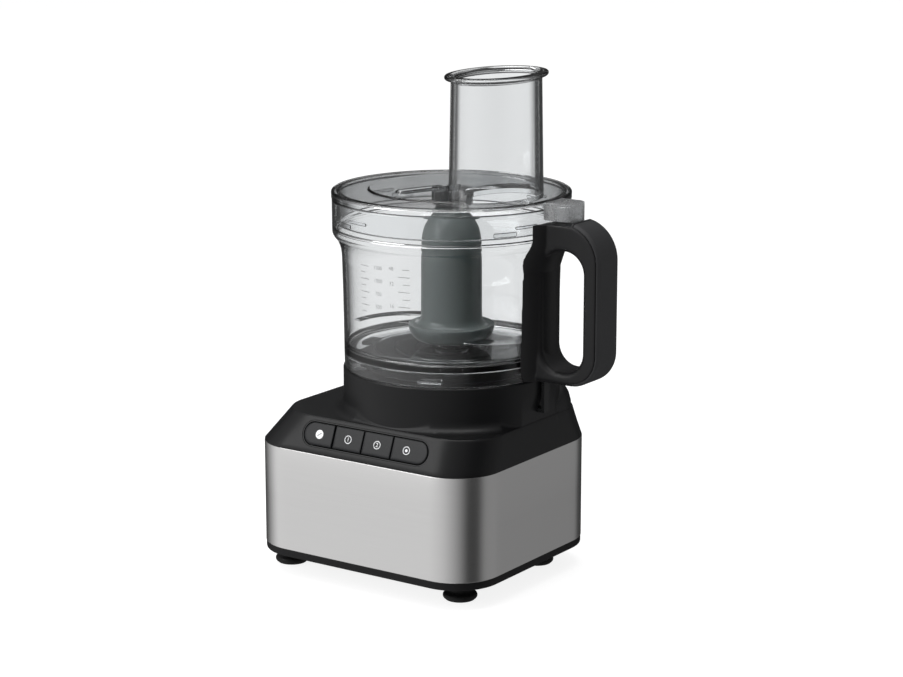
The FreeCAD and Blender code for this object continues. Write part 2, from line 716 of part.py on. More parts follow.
def blade(z, start_deg):
    """Sickle blade: a curved plate that narrows to its tip."""
    lead = []
    trail = []
    for step in range(9):
        t = step / 8.0
        r = 18.0 + 58.0 * t
        a = math.radians(start_deg + 58 * t ** 1.4)
        half = (10.0 - 7.0 * t ** 1.4) / r
        skew = 5.0 * t
        lead.append(V((r - skew) * math.cos(a + half), (r - skew) * math.sin(a + half), z))
        trail.append(V(r * math.cos(a - half), r * math.sin(a - half), z))
    one = Part.BSplineCurve()
    one.interpolate(lead)
    two = Part.BSplineCurve()
    two.interpolate(trail[::-1])
    outline = Part.Wire([one.toShape(), Part.makeLine(lead[-1], trail[-1]), two.toShape(),
                         Part.makeLine(trail[0], lead[0])])
    return Part.Face(outline).extrude(V(0, 0, 1.6)).cut(cyl(16.5, z - 20, z + 20))


def blade_upper():
    return blade(199.0, 155)


def blade_lower():
    return blade(187.4, -25)


def blade_hub():
    body = turned_edges([
        line_rz((14.5, 185.3), (31.0, 185.3)),
        arc_rz((31.0, 185.3), (32.8, 186.2), (33.5, 188.2)),
        line_rz((33.5, 188.2), (32.9, 195.5)),
        curve_rz([(32.9, 195.5), (31.0, 199.5), (26.6, 203.6), (24.2, 208.5), (23.6, 216)]),
        line_rz((23.6, 216), (HUB_R, 258)),
        curve_rz([(HUB_R, 258), (22.8, 266), (20.9, 274), (16.8, 281.2), (12.2, 287.4)]),
        line_rz((12.2, 287.4), (SHAFT_R, 287.4)),
        line_rz((SHAFT_R, 287.4), (SHAFT_R, 259.2)),
        line_rz((SHAFT_R, 259.2), (14.5, 259.2)),
        line_rz((14.5, 259.2), (14.5, 185.3)),
    ])
    return body.cut(blade_upper()).cut(blade_lower())


def drive_shaft():
    return join([cyl(SHAFT_R, 187, 294), hexagon(8.0, 175.2, 188)])


# ---------------------------------------------------------------- handle

def grip_outline(inset, z_low, z_high):
    """Side outline of the grip as a closed plate, grown or shrunk on its outer side."""
    x1 = HANDLE_OUT - inset
    top = z_high - inset
    low = z_low + inset
    rt = 30.0 - inset
    rb = 25.0 - inset
    k = 1 - math.sqrt(0.5)
    y = -HANDLE_HALF
    edges = [
        Part.makeLine(V(70, y, low), V(x1 - rb, y, low)),
        Part.Arc(V(x1 - rb, y, low), V(x1 - rb * k, y, low + rb * k), V(x1, y, low + rb)).toShape(),
        Part.makeLine(V(x1, y, low + rb), V(x1, y, top - rt)),
        Part.Arc(V(x1, y, top - rt), V(x1 - rt * k, y, top - rt * k), V(x1 - rt, y, top)).toShape(),
        Part.makeLine(V(x1 - rt, y, top), V(70, y, top)),
        Part.makeLine(V(70, y, top), V(70, y, low)),
    ]
    return Part.Face(Part.Wire(edges)).extrude(V(0, 2 * HANDLE_HALF, 0))


def finger_gap():
    y = -HANDLE_HALF - 12
    wire = rounded_wire(91.0, 127.0, 176.0, 268.0, 16.5, 0)
    face = Part.Face(wire)
    face.rotate(V(0, 0, 0), V(1, 0, 0), 90)
    face.translate(V(0, y, 0))
    return face.extrude(V(0, 2 * HANDLE_HALF + 24, 0))


def grip_full():
    """Whole D-shaped grip with rounded edges, before it is split into core and cover."""
    body = grip_outline(0, HANDLE_BOTTOM, HANDLE_TOP).cut(finger_gap())
    rounded = []
    for e in body.Edges:
        b = e.BoundBox
        flat = abs(b.YMax - b.YMin) < 0.01
        if flat and b.XMax > 90.0:
            rounded.append(e)
    return body.makeFillet(4.5, rounded)


def handle_spine():
    rings = []
    for z, x, r in ((HANDLE_BOTTOM, 61.8, 28.8), (176, 63.3, 29.5), (250, 63.8, 29.5), (271, 71.2, 29.5),
                    (ROD_TOP, 71.4, 29.5)):
        rings.append(Part.Wire(Part.makeCircle(r, V(x, 0, z))))
    return Part.makeLoft(rings, True, True)


def cover_zone():
    shell = grip_outline(-5, HANDLE_BOTTOM, HANDLE_TOP).cut(grip_outline(COVER_THICK, HANDLE_BOTTOM, HANDLE_TOP))
    return shell.common(box(118.5, 160, -30, 30, 150, 310))


def rod_slot():
    slot = plate_xz([(60, 150), (88.2, 150), (88.2, 251), (96.3, 268.6), (96.3, 310), (60, 310)],
                    -ROD_HALF - 0.3, ROD_HALF + 0.3)
    pocket = box(95, 104.5, -ROD_HALF - 0.3, ROD_HALF + 0.3, 271, 285.6)
    return slot.fuse(pocket)


def handle_body():
    whole = grip_full().fuse(handle_spine()).removeSplitter()
    whole = whole.cut(cover_zone())
    whole = whole.cut(bowl_envelope())
    tab_rest = box(60, 116.5, -30, 30, ROD_TOP, 310)
    return whole.cut(tab_rest).cut(rod_slot()).cut(cover_pins(0.0))


def cover_pins(shrink):
    pins = []
    for z in (190, 228, 262):
        pins.append(Part.makeCylinder(2.0 - shrink, 4.2, V(HANDLE_OUT - COVER_THICK - 4, 0, z), V(1, 0, 0)))
    return group(pins)


def handle_cover():
    return grip_full().common(cover_zone()).fuse(cover_pins(0.0)).removeSplitter()


def interlock_rod():
    inner = [(85.2, ROD_BOTTOM), (85.2, 251.5), (93.2, 268.9), (93.2, ROD_TOP)]
    outer = [(95.9, ROD_TOP), (95.9, 268.9), (87.8, 251.3), (87.8, ROD_BOTTOM)]
    strip = plate_xz(inner + outer, -ROD_HALF, ROD_HALF)
    foot_piece = box(95, 103.6, -ROD_HALF, ROD_HALF, 279.2, 281.0)
    return strip.fuse(foot_piece).removeSplitter()


def rod_spring():
    return spring(2.7, 0.7, 100.2, 0, 271.0, 279.2, 5)


# ---------------------------------------------------------------- lid

def tube_wire(a, b, z):
    """Closed rounded outline of the feed tube."""
    points = []
    for k in range(40):
        t = 2 * math.pi * k / 40
        c = math.cos(t)
        s = math.sin(t)
        power = 2 / 2.1 if c < 0 else 1.0
        x = TUBE_X + a * math.copysign(abs(c) ** power, c)
        points.append(V(x, b * math.copysign(abs(s) ** power, s), z))
    spline = Part.BSplineCurve()
    spline.interpolate(points, PeriodicFlag=True)
    return Part.Wire(spline.toShape())


def tube_loft(sections):
    return Part.makeLoft([tube_wire(a, b, z) for a, b, z in sections], True, True)


def feed_tube_outer():
    body = tube_loft([(30.2, 46.5, 297.0), (28.5, 44.7, 390.2)])
    flange = tube_loft([(28.5, 44.7, 390.2), (32.3, 48.8, 391.4), (33.2, 49.8, 392.8), (33.2, 49.8, 394.0),
                        (32.2, 48.8, TUBE_TOP)])
    return body.fuse(flange)


def feed_tube_inner():
    return tube_loft([(30.2 - TUBE_WALL, 46.5 - TUBE_WALL, 290.0),
                      (28.5 - TUBE_WALL, 44.7 - TUBE_WALL, TUBE_TOP + 2)])


def lid():
    plate = turned_edges([
        line_rz((3.45, LID_PLATE), (85.8, LID_PLATE)),
        line_rz((85.8, LID_PLATE), (85.8, 278.5)),
        line_rz((85.8, 278.5), (87.8, 278.5)),
        line_rz((87.8, 278.5), (87.8, LID_RIM)),
        line_rz((87.8, LID_RIM), (LID_R, LID_RIM)),
        line_rz((LID_R, LID_RIM), (LID_R, LID_TOP - 1.6)),
        arc_rz((LID_R, LID_TOP - 1.6), (LID_R - 0.5, LID_TOP - 0.5), (LID_R - 1.6, LID_TOP)),
        line_rz((LID_R - 1.6, LID_TOP), (63.6, LID_TOP)),
        line_rz((63.6, LID_TOP), (62.6, LID_TOP + 1.2)),
        line_rz((62.6, LID_TOP + 1.2), (3.45, LID_TOP + 1.2)),
        line_rz((3.45, LID_TOP + 1.2), (3.45, LID_PLATE)),
    ])
    socket = tube(15.3, 13.05, 289.5, LID_PLATE + 0.5)
    bar = rounded_block(-6.5, 50, -6.5, 6.5, 6.4, LID_PLATE + 1, LID_TOP + 2.8)
    bar = bar.cut(rounded_block(-4.7, 48.2, -4.7, 4.7, 4.6, LID_TOP + 1.2, LID_TOP + 4))
    bar.rotate(V(0, 0, 0), V(0, 0, 1), -111)
    pieces = [plate, socket, feed_tube_outer(), bar]
    for k in range(4):
        pieces.append(sector(87.0, 88.9, -29 + 90 * k, 12, 280.0, 283.6))
    body = join(pieces)
    body = body.cut(feed_tube_inner().cut(cyl(15.3, 280, LID_PLATE)))
    body = body.cut(cyl(3.45, 280, 320)).cut(cyl(13.05, 280, LID_PLATE - 0.2))
    return body.cut(box(92.2, 100, -20, 20, 280, 310))


def lid_bush():
    body = turned([(0, 296.5), (5.4, 296.5), (5.4, 288.6), (10.8, 288.6), (13.0, 290.4), (13.0, 300.1),
                   (3.4, 300.1), (3.4, 305.4), (2.4, 306.4), (0, 306.4)])
    return body


def lid_tab():
    body = rounded_block(86, TAB_END, -TAB_HALF, TAB_HALF, 8, TAB_BOTTOM, LID_TOP)
    body = body.fuse(box(80, 100, -TAB_HALF, TAB_HALF, LID_RIM, LID_TOP)).removeSplitter()
    body = body.cut(cyl(LID_R, LID_RIM - 0.4, LID_TOP + 1))
    body = body.cut(cyl(BAND_R + 0.7, 280, LID_RIM))
    body = body.cut(rounded_block(98.4, TAB_END - 2, -TAB_HALF + 2, TAB_HALF - 2, 6, 270, LID_TOP - 2))
    wedge = Part.makePolygon([V(80, 4, TAB_BOTTOM - 1), V(80, 4, TAB_BOTTOM), V(80, -20, TAB_BOTTOM + 3.4),
                              V(80, -20, TAB_BOTTOM - 1), V(80, 4, TAB_BOTTOM - 1)])
    return body.cut(Part.Face(wedge).extrude(V(40, 0, 0)))


# ---------------------------------------------------------------- all the pieces

def all_pieces():
    housing = whole_housing()
    vessel = whole_bowl()
    pieces = {
        "base_tray": base_tray(),
        "steel_wrap": steel_wrap(),
        "cord_gland": cord_gland(),
        "base_screws": base_screws(),
        "top_housing": top_housing(housing),
        "bowl_collar": bowl_collar(housing),
        "spindle_seal": spindle_seal(),
        "control_panel": control_panel(),
        "circuit_board": circuit_board(),
        "tact_switches": tact_switches(),
        "motor_stator": motor_stator(),
        "field_winding_back": field_winding(1),
        "field_winding_front": field_winding(-1),
        "motor_bracket_lower": motor_bracket_lower(),
        "motor_bracket_upper": motor_bracket_upper(),
        "motor_bearing_lower": motor_bearing(45, 51.5),
        "motor_bearing_upper": motor_bearing(118.6, 124),
        "motor_mounts": motor_mounts(),
        "brush_holders": brush_holders(),
        "carbon_brushes": carbon_brushes(),
        "motor_shaft": motor_shaft(),
        "armature_core": armature_core(),
        "commutator": commutator(),
        "cooling_fan": cooling_fan(),
        "motor_pinion": motor_pinion(),
        "drive_belt": drive_belt(),
        "spindle_shaft": spindle_shaft(),
        "large_pulley": large_pulley(),
        "drive_coupling": drive_coupling(),
        "spindle_bush_lower": spindle_bush(50, 62),
        "spindle_bush_upper": spindle_bush(136, 148),
        "spindle_bracket": spindle_bracket(),
        "switch_bracket": switch_bracket(),
        "safety_switch": safety_switch(),
        "switch_plunger": switch_plunger(),
        "plunger_spring": plunger_spring(),
        "bowl_floor": bowl_floor(vessel),
        "bowl_wall": bowl_wall(vessel),
        "bowl_band": bowl_band(vessel),
        "bowl_bush": bowl_bush(),
        "drive_shaft": drive_shaft(),
        "blade_hub": blade_hub(),
        "blade_upper": blade_upper(),
        "blade_lower": blade_lower(),
        "handle_body": handle_body(),
        "handle_cover": handle_cover(),
        "interlock_rod": interlock_rod(),
        "rod_spring": rod_spring(),
        "lid": lid(),
        "lid_bush": lid_bush(),
        "lid_tab": lid_tab(),
    }
    names = ("front_left", "back_left", "front_right", "back_right")
    places = [(x, y) for x in FOOT_X for y in FOOT_Y]
    for name, place in zip(names, places):
        pieces["foot_" + name] = foot(place[0], place[1])
    for index, name in enumerate(("off", "one", "two", "pulse")):
        pieces["key_" + name] = panel_key(index)
    return pieces


for node, shape in all_pieces().items():
    shape.translate(SHIFT)
    shape.exportStep("parts/" + node + ".step")
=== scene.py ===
import bpy
import bmesh
import json
import math
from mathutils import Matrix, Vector


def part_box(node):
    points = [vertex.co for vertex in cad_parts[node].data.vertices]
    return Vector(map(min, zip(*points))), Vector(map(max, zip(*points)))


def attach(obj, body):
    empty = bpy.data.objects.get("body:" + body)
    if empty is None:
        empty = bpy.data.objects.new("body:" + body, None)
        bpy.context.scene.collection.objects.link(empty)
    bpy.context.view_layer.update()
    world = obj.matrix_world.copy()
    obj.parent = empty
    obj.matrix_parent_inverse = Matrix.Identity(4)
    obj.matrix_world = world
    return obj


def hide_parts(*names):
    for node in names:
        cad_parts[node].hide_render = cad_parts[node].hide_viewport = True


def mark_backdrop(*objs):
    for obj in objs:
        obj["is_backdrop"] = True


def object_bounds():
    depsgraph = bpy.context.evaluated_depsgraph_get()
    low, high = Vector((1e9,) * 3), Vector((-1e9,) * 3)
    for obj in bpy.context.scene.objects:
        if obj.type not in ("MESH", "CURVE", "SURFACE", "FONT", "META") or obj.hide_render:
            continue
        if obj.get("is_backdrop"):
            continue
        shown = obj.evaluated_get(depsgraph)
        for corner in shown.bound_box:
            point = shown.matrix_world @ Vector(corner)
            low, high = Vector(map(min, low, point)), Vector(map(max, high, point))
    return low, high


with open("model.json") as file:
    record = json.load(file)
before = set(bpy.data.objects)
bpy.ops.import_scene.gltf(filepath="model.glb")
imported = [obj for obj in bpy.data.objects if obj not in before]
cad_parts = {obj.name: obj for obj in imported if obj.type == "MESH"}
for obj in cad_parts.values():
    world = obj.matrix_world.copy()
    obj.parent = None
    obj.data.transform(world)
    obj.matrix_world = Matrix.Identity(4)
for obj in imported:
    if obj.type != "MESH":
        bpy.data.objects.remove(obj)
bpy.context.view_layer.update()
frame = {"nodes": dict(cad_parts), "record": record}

# The bowl axis in the frame; lengths below are in millimetres from it and from the floor.
shaft_low, shaft_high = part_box("spindle_shaft")
AX = (shaft_low.x + shaft_high.x) / 2
AY = (shaft_low.y + shaft_high.y) / 2


def P(x, y, z):
    """Millimetres from the bowl axis to a point in the frame."""
    return Vector((AX + x / 1000.0, AY + y / 1000.0, z / 1000.0))


# ------------------------------------------------------------------ materials

def nodes_of(mat):
    mat.use_nodes = True
    return mat.node_tree.nodes, mat.node_tree.links


def surface(name, color, rough, metallic=0.0, transmission=0.0, ior=1.5, grain=2500.0, grain_amount=0.06,
            bump=0.05, stretch=(1, 1, 1), tone=0.06, tone_scale=18.0, spec=None, aniso=0.0, sheen=0.0):
    """Principled surface with fine grain in its roughness and relief, and slow variation in its colour."""
    mat = bpy.data.materials.new(name)
    nodes, links = nodes_of(mat)
    p = nodes["Principled BSDF"]
    coords = nodes.new("ShaderNodeTexCoord")
    mapping = nodes.new("ShaderNodeMapping")
    mapping.inputs["Scale"].default_value = stretch
    links.new(coords.outputs["Object"], mapping.inputs["Vector"])
    fine = nodes.new("ShaderNodeTexNoise")
    fine.inputs["Scale"].default_value = grain
    fine.inputs["Detail"].default_value = 4.0
    links.new(mapping.outputs["Vector"], fine.inputs["Vector"])
    slow = nodes.new("ShaderNodeTexNoise")
    slow.inputs["Scale"].default_value = tone_scale
    slow.inputs["Detail"].default_value = 3.0
    links.new(mapping.outputs["Vector"], slow.inputs["Vector"])
    ramp = nodes.new("ShaderNodeValToRGB")
    ramp.color_ramp.elements[0].position = 0.3
    ramp.color_ramp.elements[1].position = 0.7
    ramp.color_ramp.elements[0].color = [c * (1 - tone) for c in color] + [1]
    ramp.color_ramp.elements[1].color = [min(1.0, c * (1 + tone)) for c in color] + [1]
    links.new(slow.outputs["Fac"], ramp.inputs["Fac"])
    links.new(ramp.outputs["Color"], p.inputs["Base Color"])
    rng = nodes.new("ShaderNodeMapRange")
    rng.inputs["From Min"].default_value = 0.3
    rng.inputs["From Max"].default_value = 0.7
    rng.inputs["To Min"].default_value = max(0.0, rough - grain_amount)
    rng.inputs["To Max"].default_value = min(1.0, rough + grain_amount)
    links.new(fine.outputs["Fac"], rng.inputs["Value"])
    links.new(rng.outputs["Result"], p.inputs["Roughness"])
    if bump > 0:
        b = nodes.new("ShaderNodeBump")
        b.inputs["Strength"].default_value = bump
        b.inputs["Distance"].default_value = 0.0002
        links.new(fine.outputs["Fac"], b.inputs["Height"])
        links.new(b.outputs["Normal"], p.inputs["Normal"])
    p.inputs["Metallic"].default_value = metallic
    p.inputs["Transmission Weight"].default_value = transmission
    p.inputs["IOR"].default_value = ior
    p.inputs["Anisotropic"].default_value = aniso
    p.inputs["Sheen Weight"].default_value = sheen
    p.inputs["Sheen Roughness"].default_value = 0.35
    if spec is not None:
        p.inputs["Specular IOR Level"].default_value = spec
    return mat


M = {
    "steel": surface("steel", (0.66, 0.655, 0.65), 0.26, metallic=1.0, grain=90, stretch=(0.5, 0.5, 30),
                     grain_amount=0.012, bump=0.0, tone=0.008, tone_scale=30, aniso=0.3),
    "housing": surface("housing", (0.0045, 0.0046, 0.005), 0.34, grain=3200, bump=0.08, tone=0.08, spec=0.24),
    "tray": surface("tray", (0.004, 0.004, 0.0044), 0.5, grain=2600, bump=0.12, tone=0.08, spec=0.2),
    "rubber": surface("rubber", (0.005, 0.005, 0.005), 0.6, grain=1800, bump=0.2, tone=0.12, spec=0.22),
    "panel": surface("panel", (0.0022, 0.0023, 0.0026), 0.2, grain=1500, grain_amount=0.03, bump=0.02,
                     spec=0.2),
    "key": surface("key", (0.0055, 0.006, 0.0068), 0.3, grain=3000, bump=0.05, spec=0.2),
    "print_white": surface("print_white", (0.78, 0.79, 0.8), 0.5, grain=4000, bump=0.03, tone=0.03),
    "print_grey": surface("print_grey", (0.2, 0.21, 0.22), 0.5, grain=4000, bump=0.03, tone=0.03),
    "print_dark": surface("print_dark", (0.27, 0.275, 0.28), 0.5, grain=4000, bump=0.03, tone=0.05),
    "clear": surface("clear", (0.93, 0.94, 0.945), 0.012, transmission=1.0, ior=1.5, grain=900,
                     grain_amount=0.008, bump=0.004, tone=0.008, tone_scale=9),
    "frosted": surface("frosted", (0.74, 0.75, 0.76), 0.26, transmission=0.86, ior=1.45, grain=2400,
                       grain_amount=0.08, bump=0.05, tone=0.03),
    "hub": surface("hub", (0.11, 0.138, 0.133), 0.17, grain=2200, grain_amount=0.04, bump=0.03, tone=0.05,
                   sheen=0.55),
    "bush": surface("bush", (0.008, 0.0095, 0.0095), 0.34, grain=2400, bump=0.05, tone=0.08, spec=0.3),
    "blade": surface("blade", (0.72, 0.725, 0.73), 0.16, metallic=1.0, grain=180, stretch=(1, 1, 6),
                     grain_amount=0.05, bump=0.03, tone=0.04),
    "grip": surface("grip", (0.0085, 0.0085, 0.009), 0.38, grain=3000, bump=0.08, tone=0.08, spec=0.2),
    "cover": surface("cover", (0.022, 0.0222, 0.0235), 0.55, grain=2600, bump=0.14, tone=0.08, spec=0.25),
    "rod": surface("rod", (0.008, 0.0085, 0.009), 0.4, grain=2400, bump=0.06, spec=0.3),
    "screw": surface("screw", (0.62, 0.62, 0.6), 0.3, metallic=1.0, grain=900, bump=0.05),
    "spring": surface("spring", (0.5, 0.5, 0.5), 0.25, metallic=1.0, grain=900, bump=0.03),
    "board": surface("board", (0.03, 0.13, 0.05), 0.4, grain=1200, bump=0.08),
    "copper": surface("copper", (0.55, 0.24, 0.1), 0.32, metallic=1.0, grain=500, stretch=(1, 1, 5),
                      bump=0.25),
    "lamination": surface("lamination", (0.3, 0.31, 0.32), 0.42, metallic=1.0, grain=50, stretch=(1, 1, 30),
                          bump=0.3),
    "cast": surface("cast", (0.55, 0.55, 0.55), 0.45, metallic=1.0, grain=1400, bump=0.3),
    "bronze": surface("bronze", (0.45, 0.32, 0.15), 0.4, metallic=1.0, grain=2600, bump=0.1),
    "nylon": surface("nylon", (0.6, 0.59, 0.55), 0.45, grain=1600, bump=0.06),
    "ground": surface("ground", (0.55, 0.56, 0.58), 0.2, metallic=1.0, grain=120, stretch=(1, 1, 20),
                      bump=0.04),
}

# Every CAD node that stays in view keeps its shape and gets one of the surfaces.
SLOT_TO_SURFACE = {
    "black_housing": "housing", "black_tray": "tray", "steel_sheet": "steel", "rubber": "rubber",
    "panel_plastic": "panel", "key_plastic": "key", "board": "board", "switch_plastic": "bush",
    "lamination": "lamination", "copper_wire": "copper", "cast_metal": "cast", "bearing_metal": "bronze",
    "carbon": "rubber", "fan_plastic": "nylon", "ground_steel": "ground", "pulley_plastic": "bush",
    "screw_steel": "screw", "clear_plastic": "clear", "tab_plastic": "frosted", "hub_plastic": "hub",
    "blade_steel": "blade", "grip_plastic": "grip", "grip_cover": "cover", "rod_plastic": "rod",
    "spring_steel": "spring", "lid_bush_plastic": "bush",
}
for row in frame["record"]["subparts"]:
    obj = frame["nodes"][row["node"]]
    obj.data.materials.clear()
    obj.data.materials.append(M[SLOT_TO_SURFACE[row["material_slot"]]])


# ------------------------------------------------------------------ mesh helpers

def piece(name, verts, faces, mat, body, stands_for=(), sharp=32.0):
    me = bpy.data.meshes.new(name)
    me.from_pydata([tuple(v) for v in verts], [], faces)
    bm = bmesh.new()
    bm.from_mesh(me)
    bmesh.ops.remove_doubles(bm, verts=bm.verts, dist=1e-6)
    bmesh.ops.dissolve_degenerate(bm, edges=bm.edges, dist=1e-7)
    bmesh.ops.recalc_face_normals(bm, faces=bm.faces)
    bm.to_mesh(me)
    bm.free()
    return place(name, me, mat, body, stands_for, sharp)


def place(name, me, mat, body, stands_for=(), sharp=32.0):
    ob = bpy.data.objects.new(name, me)
    bpy.context.scene.collection.objects.link(ob)
    me.materials.clear()
    me.materials.append(M[mat])
    me.shade_smooth()
    me.set_sharp_from_angle(angle=math.radians(sharp))
    if body:
        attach(ob, body)
    if stands_for:
        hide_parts(*stands_for)
    return ob


def baked(ob):
    """The object's mesh with its modifiers applied."""
    bpy.context.view_layer.update()
    dg = bpy.context.evaluated_depsgraph_get()
    me = bpy.data.meshes.new_from_object(ob.evaluated_get(dg), depsgraph=dg)
    ob.modifiers.clear()
    ob.data = me
    return ob


def cut(ob, tool, operation="DIFFERENCE", sharp=32.0):
    m = ob.modifiers.new("b", "BOOLEAN")
    m.object = tool
    m.operation = operation
    m.solver = "EXACT"
    baked(ob)
    bpy.data.objects.remove(tool)
    ob.data.shade_smooth()
    ob.data.set_sharp_from_angle(angle=math.radians(sharp))
    return ob


def grid_faces(rows, cols, wrap_rows=False):
    faces = []
    last = rows if wrap_rows else rows - 1
    for i in range(last):
        a = i * cols
        b = ((i + 1) % rows) * cols
        for j in range(cols):
            k = (j + 1) % cols
            faces.append((a + j, a + k, b + k, b + j))
    return faces


def skin(loops, caps=True, closed=False):
    n = len(loops[0])
    verts = [v for loop in loops for v in loop]
    faces = grid_faces(len(loops), n, closed)
    if caps and not closed:
        faces.append(tuple(range(n - 1, -1, -1)))
        faces.append(tuple(range((len(loops) - 1) * n, len(loops) * n)))
    return verts, faces


def circle(r, z, n=160):
    turns = [2 * math.pi * k / n for k in range(n)]
    return [P(r * math.cos(a), r * math.sin(a), z) for a in turns]


def held(profile, closed=True, near=0.35):
    """Extra points just inside the ends of long runs, so that smooth shading stays flat along them."""
    out = []
    count = len(profile)
    for i, a in enumerate(profile):
        out.append(a)
        if i == count - 1 and not closed:
            break
        b = profile[(i + 1) % count]
        run = math.hypot(b[0] - a[0], b[1] - a[1])
        if run > 4 * near:
            for t in (near / run, 1 - near / run):
                out.append((a[0] + (b[0] - a[0]) * t, a[1] + (b[1] - a[1]) * t))
    return out


def turned(profile, n=160, closed=True):
    """Solid of revolution from a closed list of (radius, z)."""
    profile = held(profile, closed)
    loops = [circle(max(r, 0.0), z, n) for r, z in profile]
    verts = [v for loop in loops for v in loop]
    return verts, grid_faces(len(loops), n, closed)


def arc(cx, cz, r, a0, a1, n):
    return [(cx + r * math.cos(math.radians(a0 + (a1 - a0) * k / n)),
             cz + r * math.sin(math.radians(a0 + (a1 - a0) * k / n))) for k in range(n + 1)]


def smooth_path(points, per=6):
    """Catmull-Rom through (r, z) points."""
    out = []
    for i in range(len(points) - 1):
        p0 = points[max(i - 1, 0)]
        p1 = points[i]
        p2 = points[i + 1]
        p3 = points[min(i + 2, len(points) - 1)]
        for k in range(per):
            t = k / per
            point = []
            for d in (0, 1):
                square = 2 * p0[d] - 5 * p1[d] + 4 * p2[d] - p3[d]
                cube = 3 * p1[d] - p0[d] - 3 * p2[d] + p3[d]
                point.append(0.5 * (2 * p1[d] + (p2[d] - p0[d]) * t + square * t * t + cube * t ** 3))
            out.append(tuple(point))
    out.append(tuple(points[-1]))
    return out


def rounded_rect(x0, x1, y0, y1, r, corner=14, side=10):
    """Closed outline with the same count of points whatever its size."""
    pts = []
    corners = ((x1 - r, y0 + r, -90), (x1 - r, y1 - r, 0), (x0 + r, y1 - r, 90), (x0 + r, y0 + r, 180))
    for i, (cx, cy, a0) in enumerate(corners):
        for k in range(corner + 1):
            a = math.radians(a0 + 90 * k / corner)
            pts.append((cx + r * math.cos(a), cy + r * math.sin(a)))
        nx, ny, na = corners[(i + 1) % 4]
        a = math.radians(na)
        end = (nx + r * math.cos(a), ny + r * math.sin(a))
        start = pts[-1]
        for k in range(1, side):
            t = k / side
            pts.append((start[0] + (end[0] - start[0]) * t, start[1] + (end[1] - start[1]) * t))
    return pts


# Outlines as x0, x1, y0, y1 and corner radius.
WRAP = (-128.3, 83.1, -97.1, 86.0, 37.0)
DECK = (-108.3, 81.6, -86.4, 73.0, 36.0)
WRAP_TOP = 104.9
SLOPE_Z = 105.6
DECK_Z = 131.8
COLLAR_R = 84.2


def inset(rect, d):
    return (rect[0] + d, rect[1] - d, rect[2] + d, rect[3] - d, rect[4] - d)


def rect_loop(rect, z, **kw):
    return [P(x, y, z) for x, y in rounded_rect(*rect, **kw)]


# ------------------------------------------------------------------ base

def build_wrap():
    loops = []
    for d, z in ((0.8, 23.6), (0.5, 23.45), (0.2, 23.5), (0.0, 23.8), (0.0, 64), (0.0, 104.4), (0.15, 104.75),
                 (0.4, 104.9), (0.7, 104.8), (0.8, 104.6), (0.8, 64)):
        loops.append(rect_loop(inset(WRAP, d), z, corner=20, side=16))
    verts, faces = skin(loops, closed=True)
    piece("steel_wrap_skin", verts, faces, "steel", "base", ["steel_wrap"])


def build_tray():
    loops = []
    prof = [(3.2, 23.42), (0.6, 23.42), (0.35, 23.3), (0.3, 23.0), (0.3, 18.9)]
    prof += [(0.3 + 1.8 - 1.8 * math.cos(math.radians(a)), 18.9 - 1.8 * math.sin(math.radians(a))) for a in
             (15, 30, 45, 60, 75, 90)]
    prof += [(6.0, 17.1), (8.0, 18.2), (30.0, 18.2)]
    for d, z in prof:
        rect = inset(WRAP, d)
        loops.append(rect_loop(rect[:4] + (max(rect[4], 7.0),), z, corner=16, side=10))
    verts, faces = skin(loops, caps=False)
    n = len(loops[0])
    faces.append(tuple(range((len(loops) - 1) * n, len(loops) * n)))
    piece("tray_skin", verts, faces, "tray", "base", ())


def build_foot(node, x, y):
    r = 13.3
    prof = [(0, 0.0), (r - 4.5, 0.0), (r - 3.9, 0.25), (r - 3.4, 0.25), (r - 2.9, 0.0), (r - 2.0, 0.05)]
    prof += arc(r - 2.6, 3.0, 2.6, -72, 78, 10)
    prof += [(10.6, 6.0), (9.6, 6.7), (9.1, 7.6), (9.0, 9.0), (9.0, 16.9), (0, 16.9)]
    verts, faces = turned(prof, 72)
    verts = [v + Vector((x / 1000.0, y / 1000.0, 0)) for v in verts]
    piece(node + "_skin", verts, faces, "rubber", "base", [node])


def sdf(rect, x, y):
    cx, cy = (rect[0] + rect[1]) / 2, (rect[2] + rect[3]) / 2
    hx, hy = (rect[1] - rect[0]) / 2 - rect[4], (rect[3] - rect[2]) / 2 - rect[4]
    qx, qy = abs(x - cx) - hx, abs(y - cy) - hy
    return math.hypot(max(qx, 0), max(qy, 0)) + min(max(qx, qy), 0) - rect[4]


def reach(rect, a):
    """Distance from the bowl axis to the outline along an angle."""
    low, high = 0.0, 220.0
    for _ in range(34):
        mid = (low + high) / 2
        if sdf(rect, mid * math.cos(a), mid * math.sin(a)) > 0:
            high = mid
        else:
            low = mid
    return low


def step(t):
    t = min(max(t, 0.0), 1.0)
    return t * t * (3 - 2 * t)


